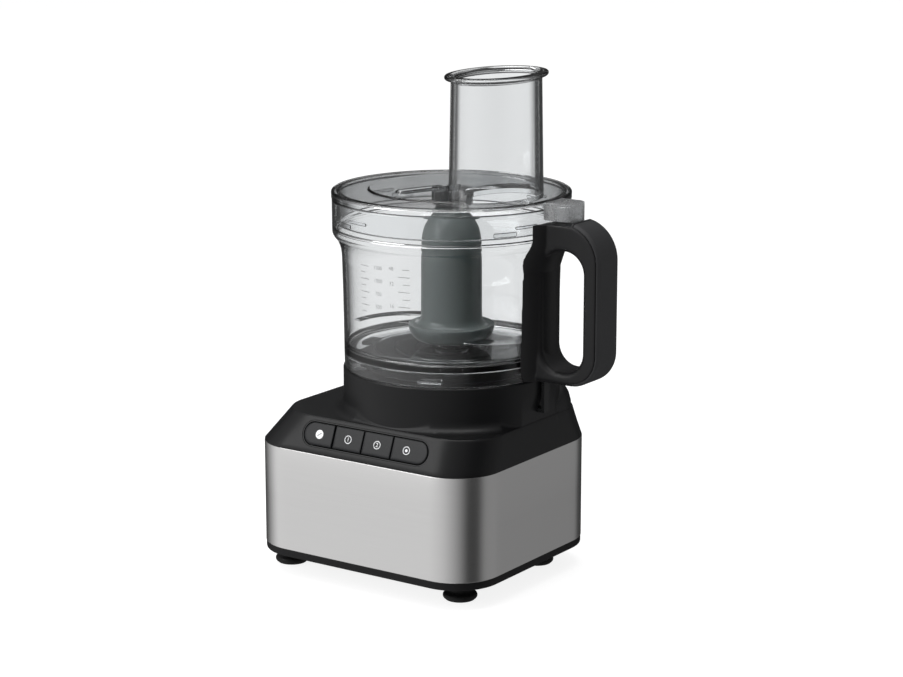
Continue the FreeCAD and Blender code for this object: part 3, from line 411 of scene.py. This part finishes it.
def housing_column(a):
    """Outline of the top housing in one direction from the bowl axis; the count of points never changes."""
    collar = COLLAR_R
    deg = math.degrees(a)
    if deg > 180:
        deg -= 360
    rs = reach(WRAP, a)
    rr = reach(DECK, a)
    start_r = rs - 0.12
    slope = (DECK_Z - SLOPE_Z) / max(start_r - rr, 0.3)
    foot_r = min(collar, rr - 0.8) if rs < 90 and abs(deg) < 30 else collar
    landed = rr > foot_r + 0.5
    prof = [(rs - 0.9, 104.95), (rs - 0.35, 104.95), (rs - 0.16, 105.1), (start_r, 105.45)]
    prof.append((start_r, SLOPE_Z))

    def slope_z(r):
        return SLOPE_Z + (start_r - r) * slope

    if landed:
        width = min(1.5, rr - foot_r)
        end = rr + min(0.9, (start_r - rr) * 0.4)
        for i in range(1, 8):
            r = start_r + (end - start_r) * i / 7
            prof.append((r, slope_z(r)))
        z_end = slope_z(end)
        corner = ((end, z_end), (rr + 0.1, 131.85), (rr - width * 0.6, DECK_Z))
        for i in range(1, 6):
            t = i / 5
            share = ((1 - t) ** 2, 2 * t * (1 - t), t * t)
            prof.append(tuple(sum(w * c[d] for w, c in zip(share, corner)) for d in (0, 1)))
        fill = min(max(rr - foot_r - 0.8, 0.0), 9.2)
        inner = foot_r + fill
        begin = rr - width
        for i in range(5):
            t = i / 4
            r = begin + (inner - begin) * t if begin > inner else inner + 0.01 * (4 - i)
            prof.append((r, DECK_Z + 0.35 * math.sin(math.pi / 2 * min(1.0, max(rr - r, 0.0) / 20.0))))
        base_z = prof[-1][1]
        for i in range(1, 10):
            b = math.radians(90 * i / 9)
            prof.append((inner - max(fill, 0.02) * math.sin(b), base_z + max(fill, 0.3) * (1 - math.cos(b))))
    else:
        z_meet = min(slope_z(collar), 131.6)
        for i in range(1, 8):
            r = start_r + (collar - start_r) * i / 7
            prof.append((r, min(slope_z(r), 131.6)))
        for i in range(1, 20):
            prof.append((collar, z_meet + 0.35 * i))
    last = prof[-1][1]
    foot = prof[-1][0]
    for i in range(1, 9):
        z = last + (164.0 - last) * i / 8
        prof.append((foot + (collar - 0.28 - foot) * step((z - DECK_Z) / 26.0), z))
    span = rr - 1.0 - foot_r
    if landed and 8 < deg < 86 and span > 0.2:
        dome = step((deg - 8) / 26) * step((88 - deg) / 8)
        changed = []
        for r, z in prof:
            if z > 120 and foot_r - 0.4 <= r < rr - 1.0:
                crown = 131.6 + 16.6 * math.sqrt(max(0.0, 1 - (max(r - foot_r, 0) / span) ** 2))
                changed.append((r, z + (max(crown, z) - z) * dome))
            else:
                changed.append((r, z))
        prof = changed
    prof += arc(82.45, 164.35, 1.45, 0, 90, 5)
    prof += [(81.0, 165.8), (67.6, 165.8), (66.8, 165.95), (66.2, 166.4), (66.0, 167.0), (66.0, 173.2)]
    prof += arc(64.3, 173.3, 1.7, 5, 90, 5)
    prof += [(63.9, 175.05), (14.0, 175.05), (13.4, 175.05), (13.0, 175.1), (12.6, 175.5), (11.2, 176.2),
             (9.9, 176.0), (9.4, 175.3), (9.4, 158.0), (12.4, 158.0), (12.4, 172.2), (63.0, 172.2),
             (63.0, 163.0), (79.6, 163.0), (79.6, 134.0), (min(79.6, rr - 3.4), 126.0), (rs - 3.6, 106.5),
             (rs - 3.6, 104.95)]
    return prof


def build_housing():
    count = 540
    columns = [housing_column(2 * math.pi * k / count) for k in range(count)]
    size = len(columns[0])
    assert all(len(c) == size for c in columns), sorted({len(c) for c in columns})
    verts = []
    for i in range(size):
        for k in range(count):
            a = 2 * math.pi * k / count
            r, z = columns[k][i]
            verts.append(P(r * math.cos(a), r * math.sin(a), z))
    faces = grid_faces(size, count, True)
    ob = piece("housing_skin", verts, faces, "housing", "base", ["top_housing", "bowl_collar"],
               sharp=28)
    tool_loops = []
    for z in (-7.5, 6):
        recess = rounded_rect(-59.5, 59.5, -10.5, 10.5, 10.49, 16, 14)
        tool_loops.append([panel_point(x, y, z) for x, y in recess])
    v, f = skin(tool_loops)
    tool = piece("tool", v, f, "housing", None)
    cut(ob, tool, sharp=28)


# The front chamfer runs from the wrap's top edge to the deck; the key strip is centred part way up.
TILT = math.atan2(DECK_Z - WRAP_TOP, -86.4 + 97.1)
PANEL = (-16.5, -97.1 + (119.5 - WRAP_TOP) * 10.7 / 26.9, 119.5)


def panel_point(x, y, z):
    """Point on the front chamfer: x to the right, y up the slope, z out of it."""
    c, s = math.cos(TILT), math.sin(TILT)
    return P(PANEL[0] + x, PANEL[1] + y * c - z * s, PANEL[2] + y * s + z * c)


# Key name, left and right edge, and centre of its icon, along the strip.
KEYS = (("off", -57.9, -30.3, -43.0), ("one", -29.0, -2.6, -15.8), ("two", -1.8, 24.6, 11.4),
        ("pulse", 25.4, 57.9, 38.6))


def capsule_slice(x0, x1, half, r):
    def height(x):
        d = abs(x) - (half - r)
        return r if d <= 0 else math.sqrt(max(r * r - d * d, 0.0))
    xs = []
    for k in range(49):
        xs.append(x0 + (x1 - x0) * (0.5 - 0.5 * math.cos(math.pi * k / 48)))
    top = [(x, height(x)) for x in xs]
    low = [(x, -height(x)) for x in xs[::-1]]
    return low + top


def build_panel():
    loops = []
    for half, r, z in ((59.4, 10.4, -5.2), (59.4, 10.4, -0.5), (59.2, 10.2, -0.25), (58.5, 9.5, -0.25),
                       (58.3, 9.3, -0.5), (58.2, 9.2, -3.4), (57.0, 8.0, -3.6)):
        loops.append([panel_point(x, y, z) for x, y in rounded_rect(-half, half, -r, r, r - 0.02, 16, 14)])
    verts, faces = skin(loops)
    piece("panel_skin", verts, faces, "panel", "base", ["control_panel"])
    for name, x0, x1, cx in KEYS:
        x0 = max(x0, -57.7)
        x1 = min(x1, 57.7)
        loops = []
        for d, z in ((0.0, -1.7), (0.0, -0.35), (0.12, -0.08), (0.4, 0.12), (0.9, 0.22), (2.5, 0.26)):
            outline = capsule_slice(x0 + d, x1 - d, 57.7 - d, 8.7 - d)
            loops.append([panel_point(x, y, z) for x, y in outline])
        verts, faces = skin(loops)
        piece("key_%s_cap" % name, verts, faces, "key", "key_" + name, ["key_" + name])
        build_icon(name, cx)


def flat_on_panel(name, outline, z, mat, body, holes=()):
    """Thin printed shape from closed outlines in panel coordinates; a hole makes it a ring."""
    verts = []
    faces = []
    if holes:
        n = len(outline)
        for lift in (z, z + 0.03):
            verts += [panel_point(x, y, lift) for x, y in outline]
            verts += [panel_point(x, y, lift) for x, y in holes]
        for j in range(n):
            k = (j + 1) % n
            faces.append((2 * n + j, 2 * n + k, 3 * n + k, 3 * n + j))
            faces.append((j, k, 2 * n + k, 2 * n + j))
            faces.append((n + k, n + j, 3 * n + j, 3 * n + k))
            faces.append((k, j, n + j, n + k))
    else:
        verts, faces = skin([[panel_point(x, y, lift) for x, y in outline] for lift in (z, z + 0.03)])
    return piece(name, verts, faces, mat, body, ())


def ring_points(cx, cy, r, n=48):
    turns = [2 * math.pi * k / n for k in range(n)]
    return [(cx + r * math.cos(a), cy + r * math.sin(a)) for a in turns]


def lettering(name, text, size, place_point, mat, body, thick=0.03, bold=0.0):
    """Text as a thin raised print; place_point maps (x, y, lift) in millimetres to the model."""
    cu = bpy.data.curves.new(name, "FONT")
    cu.body = text
    cu.size = size
    cu.align_x = "CENTER"
    cu.align_y = "CENTER"
    cu.resolution_u = 6
    cu.offset = bold
    tmp = bpy.data.objects.new(name + "_t", cu)
    bpy.context.scene.collection.objects.link(tmp)
    bpy.context.view_layer.update()
    dg = bpy.context.evaluated_depsgraph_get()
    me = bpy.data.meshes.new_from_object(tmp.evaluated_get(dg), depsgraph=dg)
    bpy.data.objects.remove(tmp)
    bm = bmesh.new()
    bm.from_mesh(me)
    bmesh.ops.remove_doubles(bm, verts=bm.verts, dist=1e-4)
    ret = bmesh.ops.extrude_face_region(bm, geom=bm.faces[:])
    moved = [v for v in ret["geom"] if isinstance(v, bmesh.types.BMVert)]
    lifted = set(moved)
    for v in bm.verts:
        v.co = place_point(v.co.x, v.co.y, thick if v in lifted else 0.0)
    bmesh.ops.recalc_face_normals(bm, faces=bm.faces)
    bm.to_mesh(me)
    bm.free()
    return place(name, me, mat, body)


def build_icon(name, cx):
    body = "key_" + name
    top = 0.27
    r = 3.5 if name == "off" else 3.15
    if name == "off":
        flat_on_panel("icon_off_disc", ring_points(cx, 0, r), top, "print_white", body)
        flat_on_panel("icon_off_bar", [(cx - 2.0, -1.0), (cx - 1.4, -1.5), (cx + 2.0, 1.0), (cx + 1.4, 1.5)],
                      top + 0.04, "print_grey", body)
    else:
        flat_on_panel("icon_%s_ring" % name, ring_points(cx, 0, r), top, "print_white", body,
                      ring_points(cx, 0, r - 0.5))
        if name == "pulse":
            flat_on_panel("icon_pulse_dot", ring_points(cx, 0, 1.15, 32), top, "print_white", body)
        else:
            digit = "1" if name == "one" else "2"
            lettering("icon_%s_digit" % name, digit, 4.6,
                      lambda x, y, l: panel_point(cx + x, y, top + l), "print_white", body)


# ------------------------------------------------------------------ bowl

BOWL_OUT = [(82.9, 166.3), (83.1, 178.5), (83.4, 204), (83.8, 229), (84.3, 248)]
SHOULDER = [(84.3, 248), (84.55, 254), (85.8, 260.4), (88.3, 265.6), (90.4, 268.4), (91.4, 270.6),
            (91.65, 273.5), (91.7, 279)]


def bowl_profile():
    out = [(80.3, 166.6), (80.7, 166.05), (81.6, 166.0), (82.4, 166.0), (82.8, 166.2)]
    for i in range(len(BOWL_OUT) - 1):
        a, b = BOWL_OUT[i], BOWL_OUT[i + 1]
        for k in range(4):
            out.append((a[0] + (b[0] - a[0]) * k / 4, a[1] + (b[1] - a[1]) * k / 4))
    out += smooth_path(SHOULDER, 5)
    out += [(91.75, 286), (91.8, 295.8), (91.6, 296.8), (91.1, 297.3), (90.1, 297.3), (89.5, 297.0),
            (89.3, 296.4), (89.3, 284)]
    # thin moulded line inside the foot of the band
    out += [(89.3, 276.2), (89.1, 275.7), (88.5, 275.3), (88.2, 274.6), (88.35, 273.9), (88.9, 273.5)]
    shoulder_in = [(r - 2.4, z + 0.6) for r, z in SHOULDER[::-1] if z < 271]
    out += smooth_path(shoulder_in, 5)
    out += [(81.4, 229), (81.0, 204), (80.75, 190)]
    out += arc(73.7, 187.0, 7.0, 0, -90, 9)
    out += [(60, 180), (40, 180), (18, 180), (16.5, 180.1), (14.2, 180.9), (12.9, 182.4), (12.5, 184.5),
            (12.2, 254.4), (11.9, 254.9), (11.4, 255.0), (9.5, 255.0), (9.05, 254.6), (9.05, 177.6),
            (9.2, 177.4), (79.2, 177.4),
            (80.0, 177.0), (80.3, 176.2)]
    return out


def build_bowl():
    verts, faces = turned(bowl_profile(), 240)
    piece("bowl_shell", verts, faces, "clear", "bowl", ["bowl_floor", "bowl_wall", "bowl_band"],
          sharp=40)
    for i, r in enumerate((28.0, 44.0, 60.0)):
        prof = [(r - 0.8, 177.35), (r - 0.7, 176.2), (r - 0.3, 175.9), (r + 0.3, 175.9), (r + 0.7, 176.2),
                (r + 0.8, 177.35)]
        verts, faces = turned(prof, 180)
        piece("floor_ring_%d" % i, verts, faces, "clear", "bowl", ())
    for k in range(6):
        sector_block("bayonet_%d" % k, 71.0, 80.25, -67.5 + 60 * k, 13, 167.6, 170.6, "clear", "bowl")
        sector_block("ledge_%d" % k, 65.5, 76.4, -52.5 + 60 * k, 13, 171.6, 175.0, "housing", "base")
    for k in range(4):
        sector_block("lid_ledge_%d" % k, 88.1, 89.25, -17 + 90 * k, 13, 285.0, 287.4, "clear", "bowl")


def sector_block(name, r0, r1, mid, span, z0, z1, mat, body):
    e = 0.5
    n = 14
    rings = []
    for inset_r, z in ((e, z0), (0, z0 + e), (0, z1 - e), (e, z1)):
        pts = []
        da = math.degrees(inset_r / r1)
        for k in range(n + 1):
            a = math.radians(mid - span / 2 + da + (span - 2 * da) * k / n)
            pts.append(P((r1 - inset_r) * math.cos(a), (r1 - inset_r) * math.sin(a), z))
        for k in range(n, -1, -1):
            a = math.radians(mid - span / 2 + da + (span - 2 * da) * k / n)
            pts.append(P((r0 + inset_r) * math.cos(a), (r0 + inset_r) * math.sin(a), z))
        rings.append(pts)
    verts, faces = skin(rings)
    return piece(name, verts, faces, mat, body, ())


def bowl_radius(z):
    prof = BOWL_OUT + SHOULDER[1:]
    for a, b in zip(prof, prof[1:]):
        if a[1] <= z <= b[1]:
            return a[0] + (b[0] - a[0]) * (z - a[1]) / (b[1] - a[1])
    return 91.8


def on_bowl(az, z, lift):
    """Point on the bowl's outside; az is measured from the front towards the grip."""
    a = math.radians(az - 90)
    r = bowl_radius(z) + 0.03 + lift
    return P(r * math.cos(a), r * math.sin(a), z)


def tick(az0, az1, z, width):
    n = 10
    rings = []
    for lift in (0.0, 0.04):
        ring = [on_bowl(az0 + (az1 - az0) * k / n, z - width / 2, lift) for k in range(n + 1)]
        ring += [on_bowl(az0 + (az1 - az0) * k / n, z + width / 2, lift) for k in range(n, -1, -1)]
        rings.append(ring)
    verts, faces = skin(rings)
    return verts, faces


def build_scale():
    verts_all, faces_all = [], []

    def add(v, f):
        base = len(verts_all)
        verts_all.extend(v)
        faces_all.extend([tuple(i + base for i in face) for face in f])

    for k in range(9):
        z = 214.0 + 5.0 * k
        add(*tick(-19.0, -15.0 if k % 2 else -12.5, z, 0.5))
    for k in range(8):
        z = 215.0 + 5.7 * k
        add(*tick(9.0 if k % 2 else 6.5, 13.0, z, 0.5))
    piece("scale_ticks", verts_all, faces_all, "print_dark", "bowl", ())
    labels = [("1500", -6.0, 254), ("1000", -6.0, 244), ("750", -6.0, 234), ("500", -6.0, 224),
              ("48", 2.6, 255), ("32", 2.6, 243.4), ("16", 2.6, 226.4)]
    for i, (text, az, z) in enumerate(labels):
        def where(x, y, lift, az=az, z=z):
            return on_bowl(az + math.degrees(x / 84.0), z + y, lift)
        lettering("scale_label_%d" % i, text, 4.2, where, "print_dark", "bowl", 0.04)


# ------------------------------------------------------------------ lid

def tube_outline(a, b, z, n=120):
    pts = []
    for k in range(n):
        t = 2 * math.pi * k / n
        c, s = math.cos(t), math.sin(t)
        power = 2 / 2.1 if c < 0 else 1.0
        pts.append(P(41.4 + a * math.copysign(abs(c) ** power, c), b * s, z))
    return pts


def build_lid():
    prof = [(3.45, 300.4), (85.4, 300.4), (85.8, 300.0), (85.8, 279.6), (85.95, 279.0), (86.3, 278.6),
            (86.8, 278.5), (87.3, 278.6), (87.65, 279.0), (87.8, 279.6), (87.8, 297.2), (88.1, 297.5),
            (91.7, 297.5), (92.2, 298.0), (92.2, 301.4)]
    prof += arc(90.6, 301.4, 1.6, 0, 90, 5)
    prof += [(64.4, 303.0), (63.9, 303.1), (63.6, 303.4), (63.4, 303.9), (63.0, 304.15), (62.4, 304.2),
             (16.0, 304.2), (15.4, 304.2), (3.45, 304.2)]
    verts, faces = turned(prof, 240)
    ob = piece("lid_plate", verts, faces, "clear", "lid", ["lid"], sharp=40)
    outer = [(30.2, 46.5, 297.0), (30.19, 46.49, 297.6), (28.51, 44.71, 389.3), (28.5, 44.7, 389.8),
             (28.7, 44.9, 390.4), (29.6, 45.9, 390.9), (31.2, 47.6, 391.2), (32.4, 48.9, 391.7),
             (33.1, 49.7, 392.6), (33.2, 49.8, 393.4), (33.0, 49.6, 394.3), (32.3, 48.9, 394.85),
             (31.5, 48.1, 395.0)]
    loops = [tube_outline(a, b, z) for a, b, z in outer]
    verts, faces = skin(loops)
    tube = piece("tool_a", verts, faces, "clear", None)
    cut(ob, tube, "UNION", 40)
    inner = [(27.3, 43.6, 290.0), (25.61, 41.81, 393.1), (25.6, 41.8, 393.6), (25.9, 42.1, 394.5),
             (26.8, 43.0, 395.1), (28.0, 44.0, 396.5)]
    verts, faces = skin([tube_outline(a, b, z) for a, b, z in inner])
    hole = piece("tool_b", verts, faces, "clear", None)
    cut(ob, hole, "DIFFERENCE", 40)
    prof = [(13.05, 289.9), (13.4, 289.5), (14.9, 289.5), (15.3, 289.9), (15.3, 300.35), (13.05, 300.35)]
    verts, faces = turned(prof, 96)
    piece("lid_socket", verts, faces, "clear", "lid", ())
    # raised pointer bar: a rounded wall round a shallow tray
    a = math.radians(-111)
    ca, sa = math.cos(a), math.sin(a)

    def turn(x, y, z):
        return P(x * ca - y * sa, x * sa + y * ca, z)
    loops = []
    for d, z in ((0.0, 304.1), (0.0, 305.3), (0.2, 305.7), (0.6, 305.9), (1.2, 305.9), (1.6, 305.7),
                 (1.8, 305.3), (1.9, 304.25), (2.4, 304.15)):
        outline = rounded_rect(4.0 + d, 50 - d, -6.5 + d, 6.5 - d, 6.4 - d, 12, 10)
        loops.append([turn(x, y, z) for x, y in outline])
    verts, faces = skin(loops)
    piece("pointer_bar", verts, faces, "clear", "lid", ())
    for k in range(4):
        sector_block("lid_lug_%d" % k, 87.75, 88.9, -29 + 90 * k, 12, 280.0, 283.6, "clear", "lid")


def softened(node, name, voxel, smooth, mat, body):
    """A node's own shape with its sharp edges rubbed down."""
    me = frame["nodes"][node].data.copy()
    ob = bpy.data.objects.new(name, me)
    bpy.context.scene.collection.objects.link(ob)
    m = ob.modifiers.new("r", "REMESH")
    m.mode = "VOXEL"
    m.voxel_size = voxel / 1000.0
    s = ob.modifiers.new("s", "SMOOTH")
    s.factor = 0.5
    s.iterations = smooth
    baked(ob)
    me = ob.data
    bpy.data.objects.remove(ob)
    me.name = name
    return place(name, me, mat, body, [node], sharp=75)


# ------------------------------------------------------------------ blade

def build_hub():
    prof = [(14.5, 185.6), (14.9, 185.3), (24.6, 185.3)]
    prof += smooth_path([(25.4, 185.3), (28.7, 186.9), (31.2, 190.2), (32.8, 194.0), (33.4, 197.0)], 5)
    prof += [(33.37, 197.5), (33.15, 197.9), (32.8, 198.1)]
    prof += smooth_path([(32.4, 198.1), (30.4, 197.5), (28.2, 197.5), (26.1, 198.6), (24.5, 201.0),
                         (23.8, 204.0), (23.6, 210)], 5)
    prof += [(23.5, 230), (23.4, 245)]
    prof += smooth_path([(23.3, 258), (22.8, 266), (20.9, 274), (16.8, 281.2), (12.6, 286.2)], 5)
    prof += [(12.2, 287.1), (11.4, 287.4), (4.7, 287.4), (4.7, 259.2), (14.0, 259.2), (14.5, 258.7)]
    verts, faces = turned(prof, 144)
    piece("hub_body", verts, faces, "hub", "blade", ["blade_hub"], sharp=45)


def build_blade(node, z, start):
    """Curved sickle plate with a ground edge and thin back."""
    n = 40
    lead, trail = [], []
    for k in range(n + 1):
        t = k / n
        r = 18.0 + 58.0 * t
        a = math.radians(start + 58 * t ** 1.4)
        half = (10.0 - 7.0 * t ** 1.4) / r
        skew = 5.0 * t
        lead.append(((r - skew) * math.cos(a + half), (r - skew) * math.sin(a + half)))
        trail.append((r * math.cos(a - half), r * math.sin(a - half)))
    verts = []
    for k in range(n + 1):
        (lx, ly), (tx, ty) = lead[k], trail[k]
        t = k / n
        bevel_share = 0.34 if t > 0.22 else 0.02
        bx, by = tx + (lx - tx) * bevel_share, ty + (ly - ty) * bevel_share
        edge = 0.1 if t > 0.22 else 0.78
        ring = [(tx, ty, z + 0.8 - edge), (bx, by, z + 0.04), (lx, ly, z + 0.04), (lx, ly, z + 1.56),
                (bx, by, z + 1.56), (tx, ty, z + 0.8 + edge)]
        verts += [P(*v) for v in ring]
    faces = []
    for k in range(n):
        for j in range(6):
            m = (j + 1) % 6
            faces.append((k * 6 + j, k * 6 + m, (k + 1) * 6 + m, (k + 1) * 6 + j))
    faces.append((5, 4, 3, 2, 1, 0))
    faces.append(tuple(n * 6 + j for j in range(6)))
    piece(node + "_ground", verts, faces, "blade", "blade", [node], sharp=20)


build_wrap()
build_tray()
for node in ("foot_front_left", "foot_back_left", "foot_front_right", "foot_back_right"):
    low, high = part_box(node)
    c = (low + high) / 2
    build_foot(node, (c.x - AX) * 1000, (c.y - AY) * 1000)
build_housing()
build_panel()
build_bowl()
build_scale()
build_lid()
build_hub()
build_blade("blade_upper", 199.0, 155)
build_blade("blade_lower", 187.4, -25)
softened("handle_body", "grip_core", 0.55, 7, "grip", "bowl")
softened("handle_cover", "grip_cover", 0.6, 4, "cover", "bowl")
softened("lid_tab", "interlock_tab", 0.35, 4, "frosted", "lid")

# ------------------------------------------------------------------ floor, light, camera

def stage_material(name, color, strength):
    mat = bpy.data.materials.new(name)
    nodes = nodes_of(mat)[0]
    p = nodes["Principled BSDF"]
    p.inputs["Base Color"].default_value = (*color, 1)
    p.inputs["Roughness"].default_value = 0.9
    p.inputs["Specular IOR Level"].default_value = 0.0
    p.inputs["Emission Color"].default_value = (1, 1, 1, 1)
    p.inputs["Emission Strength"].default_value = strength
    return mat


def build_stage():
    me = bpy.data.meshes.new("floor")
    s = 14.0
    me.from_pydata([(-s, -s, 0), (s, -s, 0), (s, s, 0), (-s, s, 0)], [], [(0, 1, 2, 3)])
    floor = bpy.data.objects.new("floor", me)
    me.materials.append(stage_material("floor_paint", (0.3, 0.3, 0.3), 0.86))
    bpy.context.scene.collection.objects.link(floor)
    floor.visible_glossy = False
    floor.visible_transmission = False
    bm = bmesh.new()
    bmesh.ops.create_uvsphere(bm, u_segments=48, v_segments=24, radius=13.5)
    bmesh.ops.reverse_faces(bm, faces=bm.faces)
    me = bpy.data.meshes.new("backdrop")
    bm.to_mesh(me)
    bm.free()
    dome = bpy.data.objects.new("backdrop", me)
    me.materials.append(stage_material("backdrop_paint", (0.0, 0.0, 0.0), 1.0))
    bpy.context.scene.collection.objects.link(dome)
    dome.visible_glossy = False
    dome.visible_diffuse = False
    dome.visible_transmission = False
    dome.visible_shadow = False
    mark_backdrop(floor, dome)


def build_world():
    """Soft studio surroundings: brightness by compass direction, lighter overhead."""
    world = bpy.data.worlds.new("studio")
    bpy.context.scene.world = world
    world.use_nodes = True
    nodes, links = world.node_tree.nodes, world.node_tree.links
    bg = nodes["Background"]
    coords = nodes.new("ShaderNodeTexCoord")
    split = nodes.new("ShaderNodeSeparateXYZ")
    links.new(coords.outputs["Generated"], split.inputs["Vector"])
    flip = nodes.new("ShaderNodeMath")
    flip.operation = "MULTIPLY"
    flip.inputs[1].default_value = -1.0
    links.new(split.outputs["Y"], flip.inputs[0])
    angle = nodes.new("ShaderNodeMath")
    angle.operation = "ARCTAN2"
    links.new(split.outputs["X"], angle.inputs[0])
    links.new(flip.outputs[0], angle.inputs[1])
    share = nodes.new("ShaderNodeMapRange")
    share.inputs["From Min"].default_value = -math.pi
    share.inputs["From Max"].default_value = math.pi
    links.new(angle.outputs[0], share.inputs["Value"])
    ramp = nodes.new("ShaderNodeValToRGB")
    # compass direction in degrees, brightness
    stops = [(-180, 0.05), (-110, 0.05), (-98, 0.22), (-82, 0.5), (-58, 1.0), (-30, 0.93), (0, 0.8),
             (24, 0.55), (44, 0.3), (60, 0.05), (86, 0.06), (104, 0.34), (148, 0.34), (166, 0.06),
             (180, 0.05)]
    el = ramp.color_ramp.elements
    while len(el) < len(stops):
        el.new(0.5)
    for e, (deg, v) in zip(el, stops):
        e.position = (deg + 180) / 360.0
        e.color = (v, v, v * 1.005, 1)
    links.new(share.outputs["Result"], ramp.inputs["Fac"])

    def near(socket, centre, full, gone):
        gap = nodes.new("ShaderNodeMath")
        gap.operation = "SUBTRACT"
        gap.inputs[1].default_value = centre
        links.new(socket, gap.inputs[0])
        size = nodes.new("ShaderNodeMath")
        size.operation = "ABSOLUTE"
        links.new(gap.outputs[0], size.inputs[0])
        fall = nodes.new("ShaderNodeMapRange")
        fall.inputs["From Min"].default_value = full
        fall.inputs["From Max"].default_value = gone
        fall.inputs["To Min"].default_value = 1.0
        fall.inputs["To Max"].default_value = 0.0
        links.new(size.outputs[0], fall.inputs["Value"])
        return fall.outputs["Result"]

    # a bright panel low behind the machine, which draws dark outlines in the clear plastic
    both = nodes.new("ShaderNodeMath")
    both.operation = "MULTIPLY"
    links.new(near(share.outputs["Result"], (-145.4 + 180) / 360.0, 0.018, 0.033), both.inputs[0])
    links.new(near(split.outputs["Z"], -0.24, 0.15, 0.22), both.inputs[1])
    field = nodes.new("ShaderNodeMixRGB")
    field.inputs["Color2"].default_value = (1.0, 1.0, 1.0, 1)
    links.new(both.outputs[0], field.inputs["Fac"])
    links.new(ramp.outputs["Color"], field.inputs["Color1"])
    up = nodes.new("ShaderNodeMapRange")
    up.inputs["From Min"].default_value = 0.3
    up.inputs["From Max"].default_value = 0.75
    links.new(split.outputs["Z"], up.inputs["Value"])
    mix = nodes.new("ShaderNodeMixRGB")
    mix.inputs["Color2"].default_value = (0.55, 0.55, 0.555, 1)
    links.new(up.outputs["Result"], mix.inputs["Fac"])
    links.new(field.outputs["Color"], mix.inputs["Color1"])
    links.new(mix.outputs["Color"], bg.inputs["Color"])
    bg.inputs["Strength"].default_value = 0.92


def area(name, place_mm, aim_mm, size, energy):
    li = bpy.data.lights.new(name, "AREA")
    li.shape = "RECTANGLE"
    li.size = size[0]
    li.size_y = size[1]
    li.energy = energy
    ob = bpy.data.objects.new(name, li)
    ob.location = P(*place_mm)
    ob.rotation_euler = (P(*aim_mm) - P(*place_mm)).to_track_quat("-Z", "Y").to_euler()
    bpy.context.scene.collection.objects.link(ob)
    return ob


def build_camera():
    az, dist, h, pitch, focal = math.radians(34.58), 1901.1, 627.3, math.radians(13.09), 2517.2
    cam = bpy.data.cameras.new("camera")
    cam.sensor_width = 36.0
    cam.lens = focal / 903.0 * 36.0
    cam.clip_start = 0.05
    cam.clip_end = 60.0
    ob = bpy.data.objects.new("camera", cam)
    ob.location = P(dist * math.sin(az), -dist * math.cos(az), h)
    look = Vector((-math.sin(az) * math.cos(pitch), math.cos(az) * math.cos(pitch), -math.sin(pitch)))
    ob.rotation_euler = look.to_track_quat("-Z", "Y").to_euler()
    bpy.context.scene.collection.objects.link(ob)
    bpy.context.scene.camera = ob


build_stage()
build_world()
area("top_soft", (-200, -200, 1700), (0, 0, 150), (1.6, 1.6), 26)
area("front_soft", (-900, -1500, 1100), (0, 0, 200), (1.2, 1.2), 16)
build_camera()
bpy.context.scene.view_settings.view_transform = "Standard"

low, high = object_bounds()
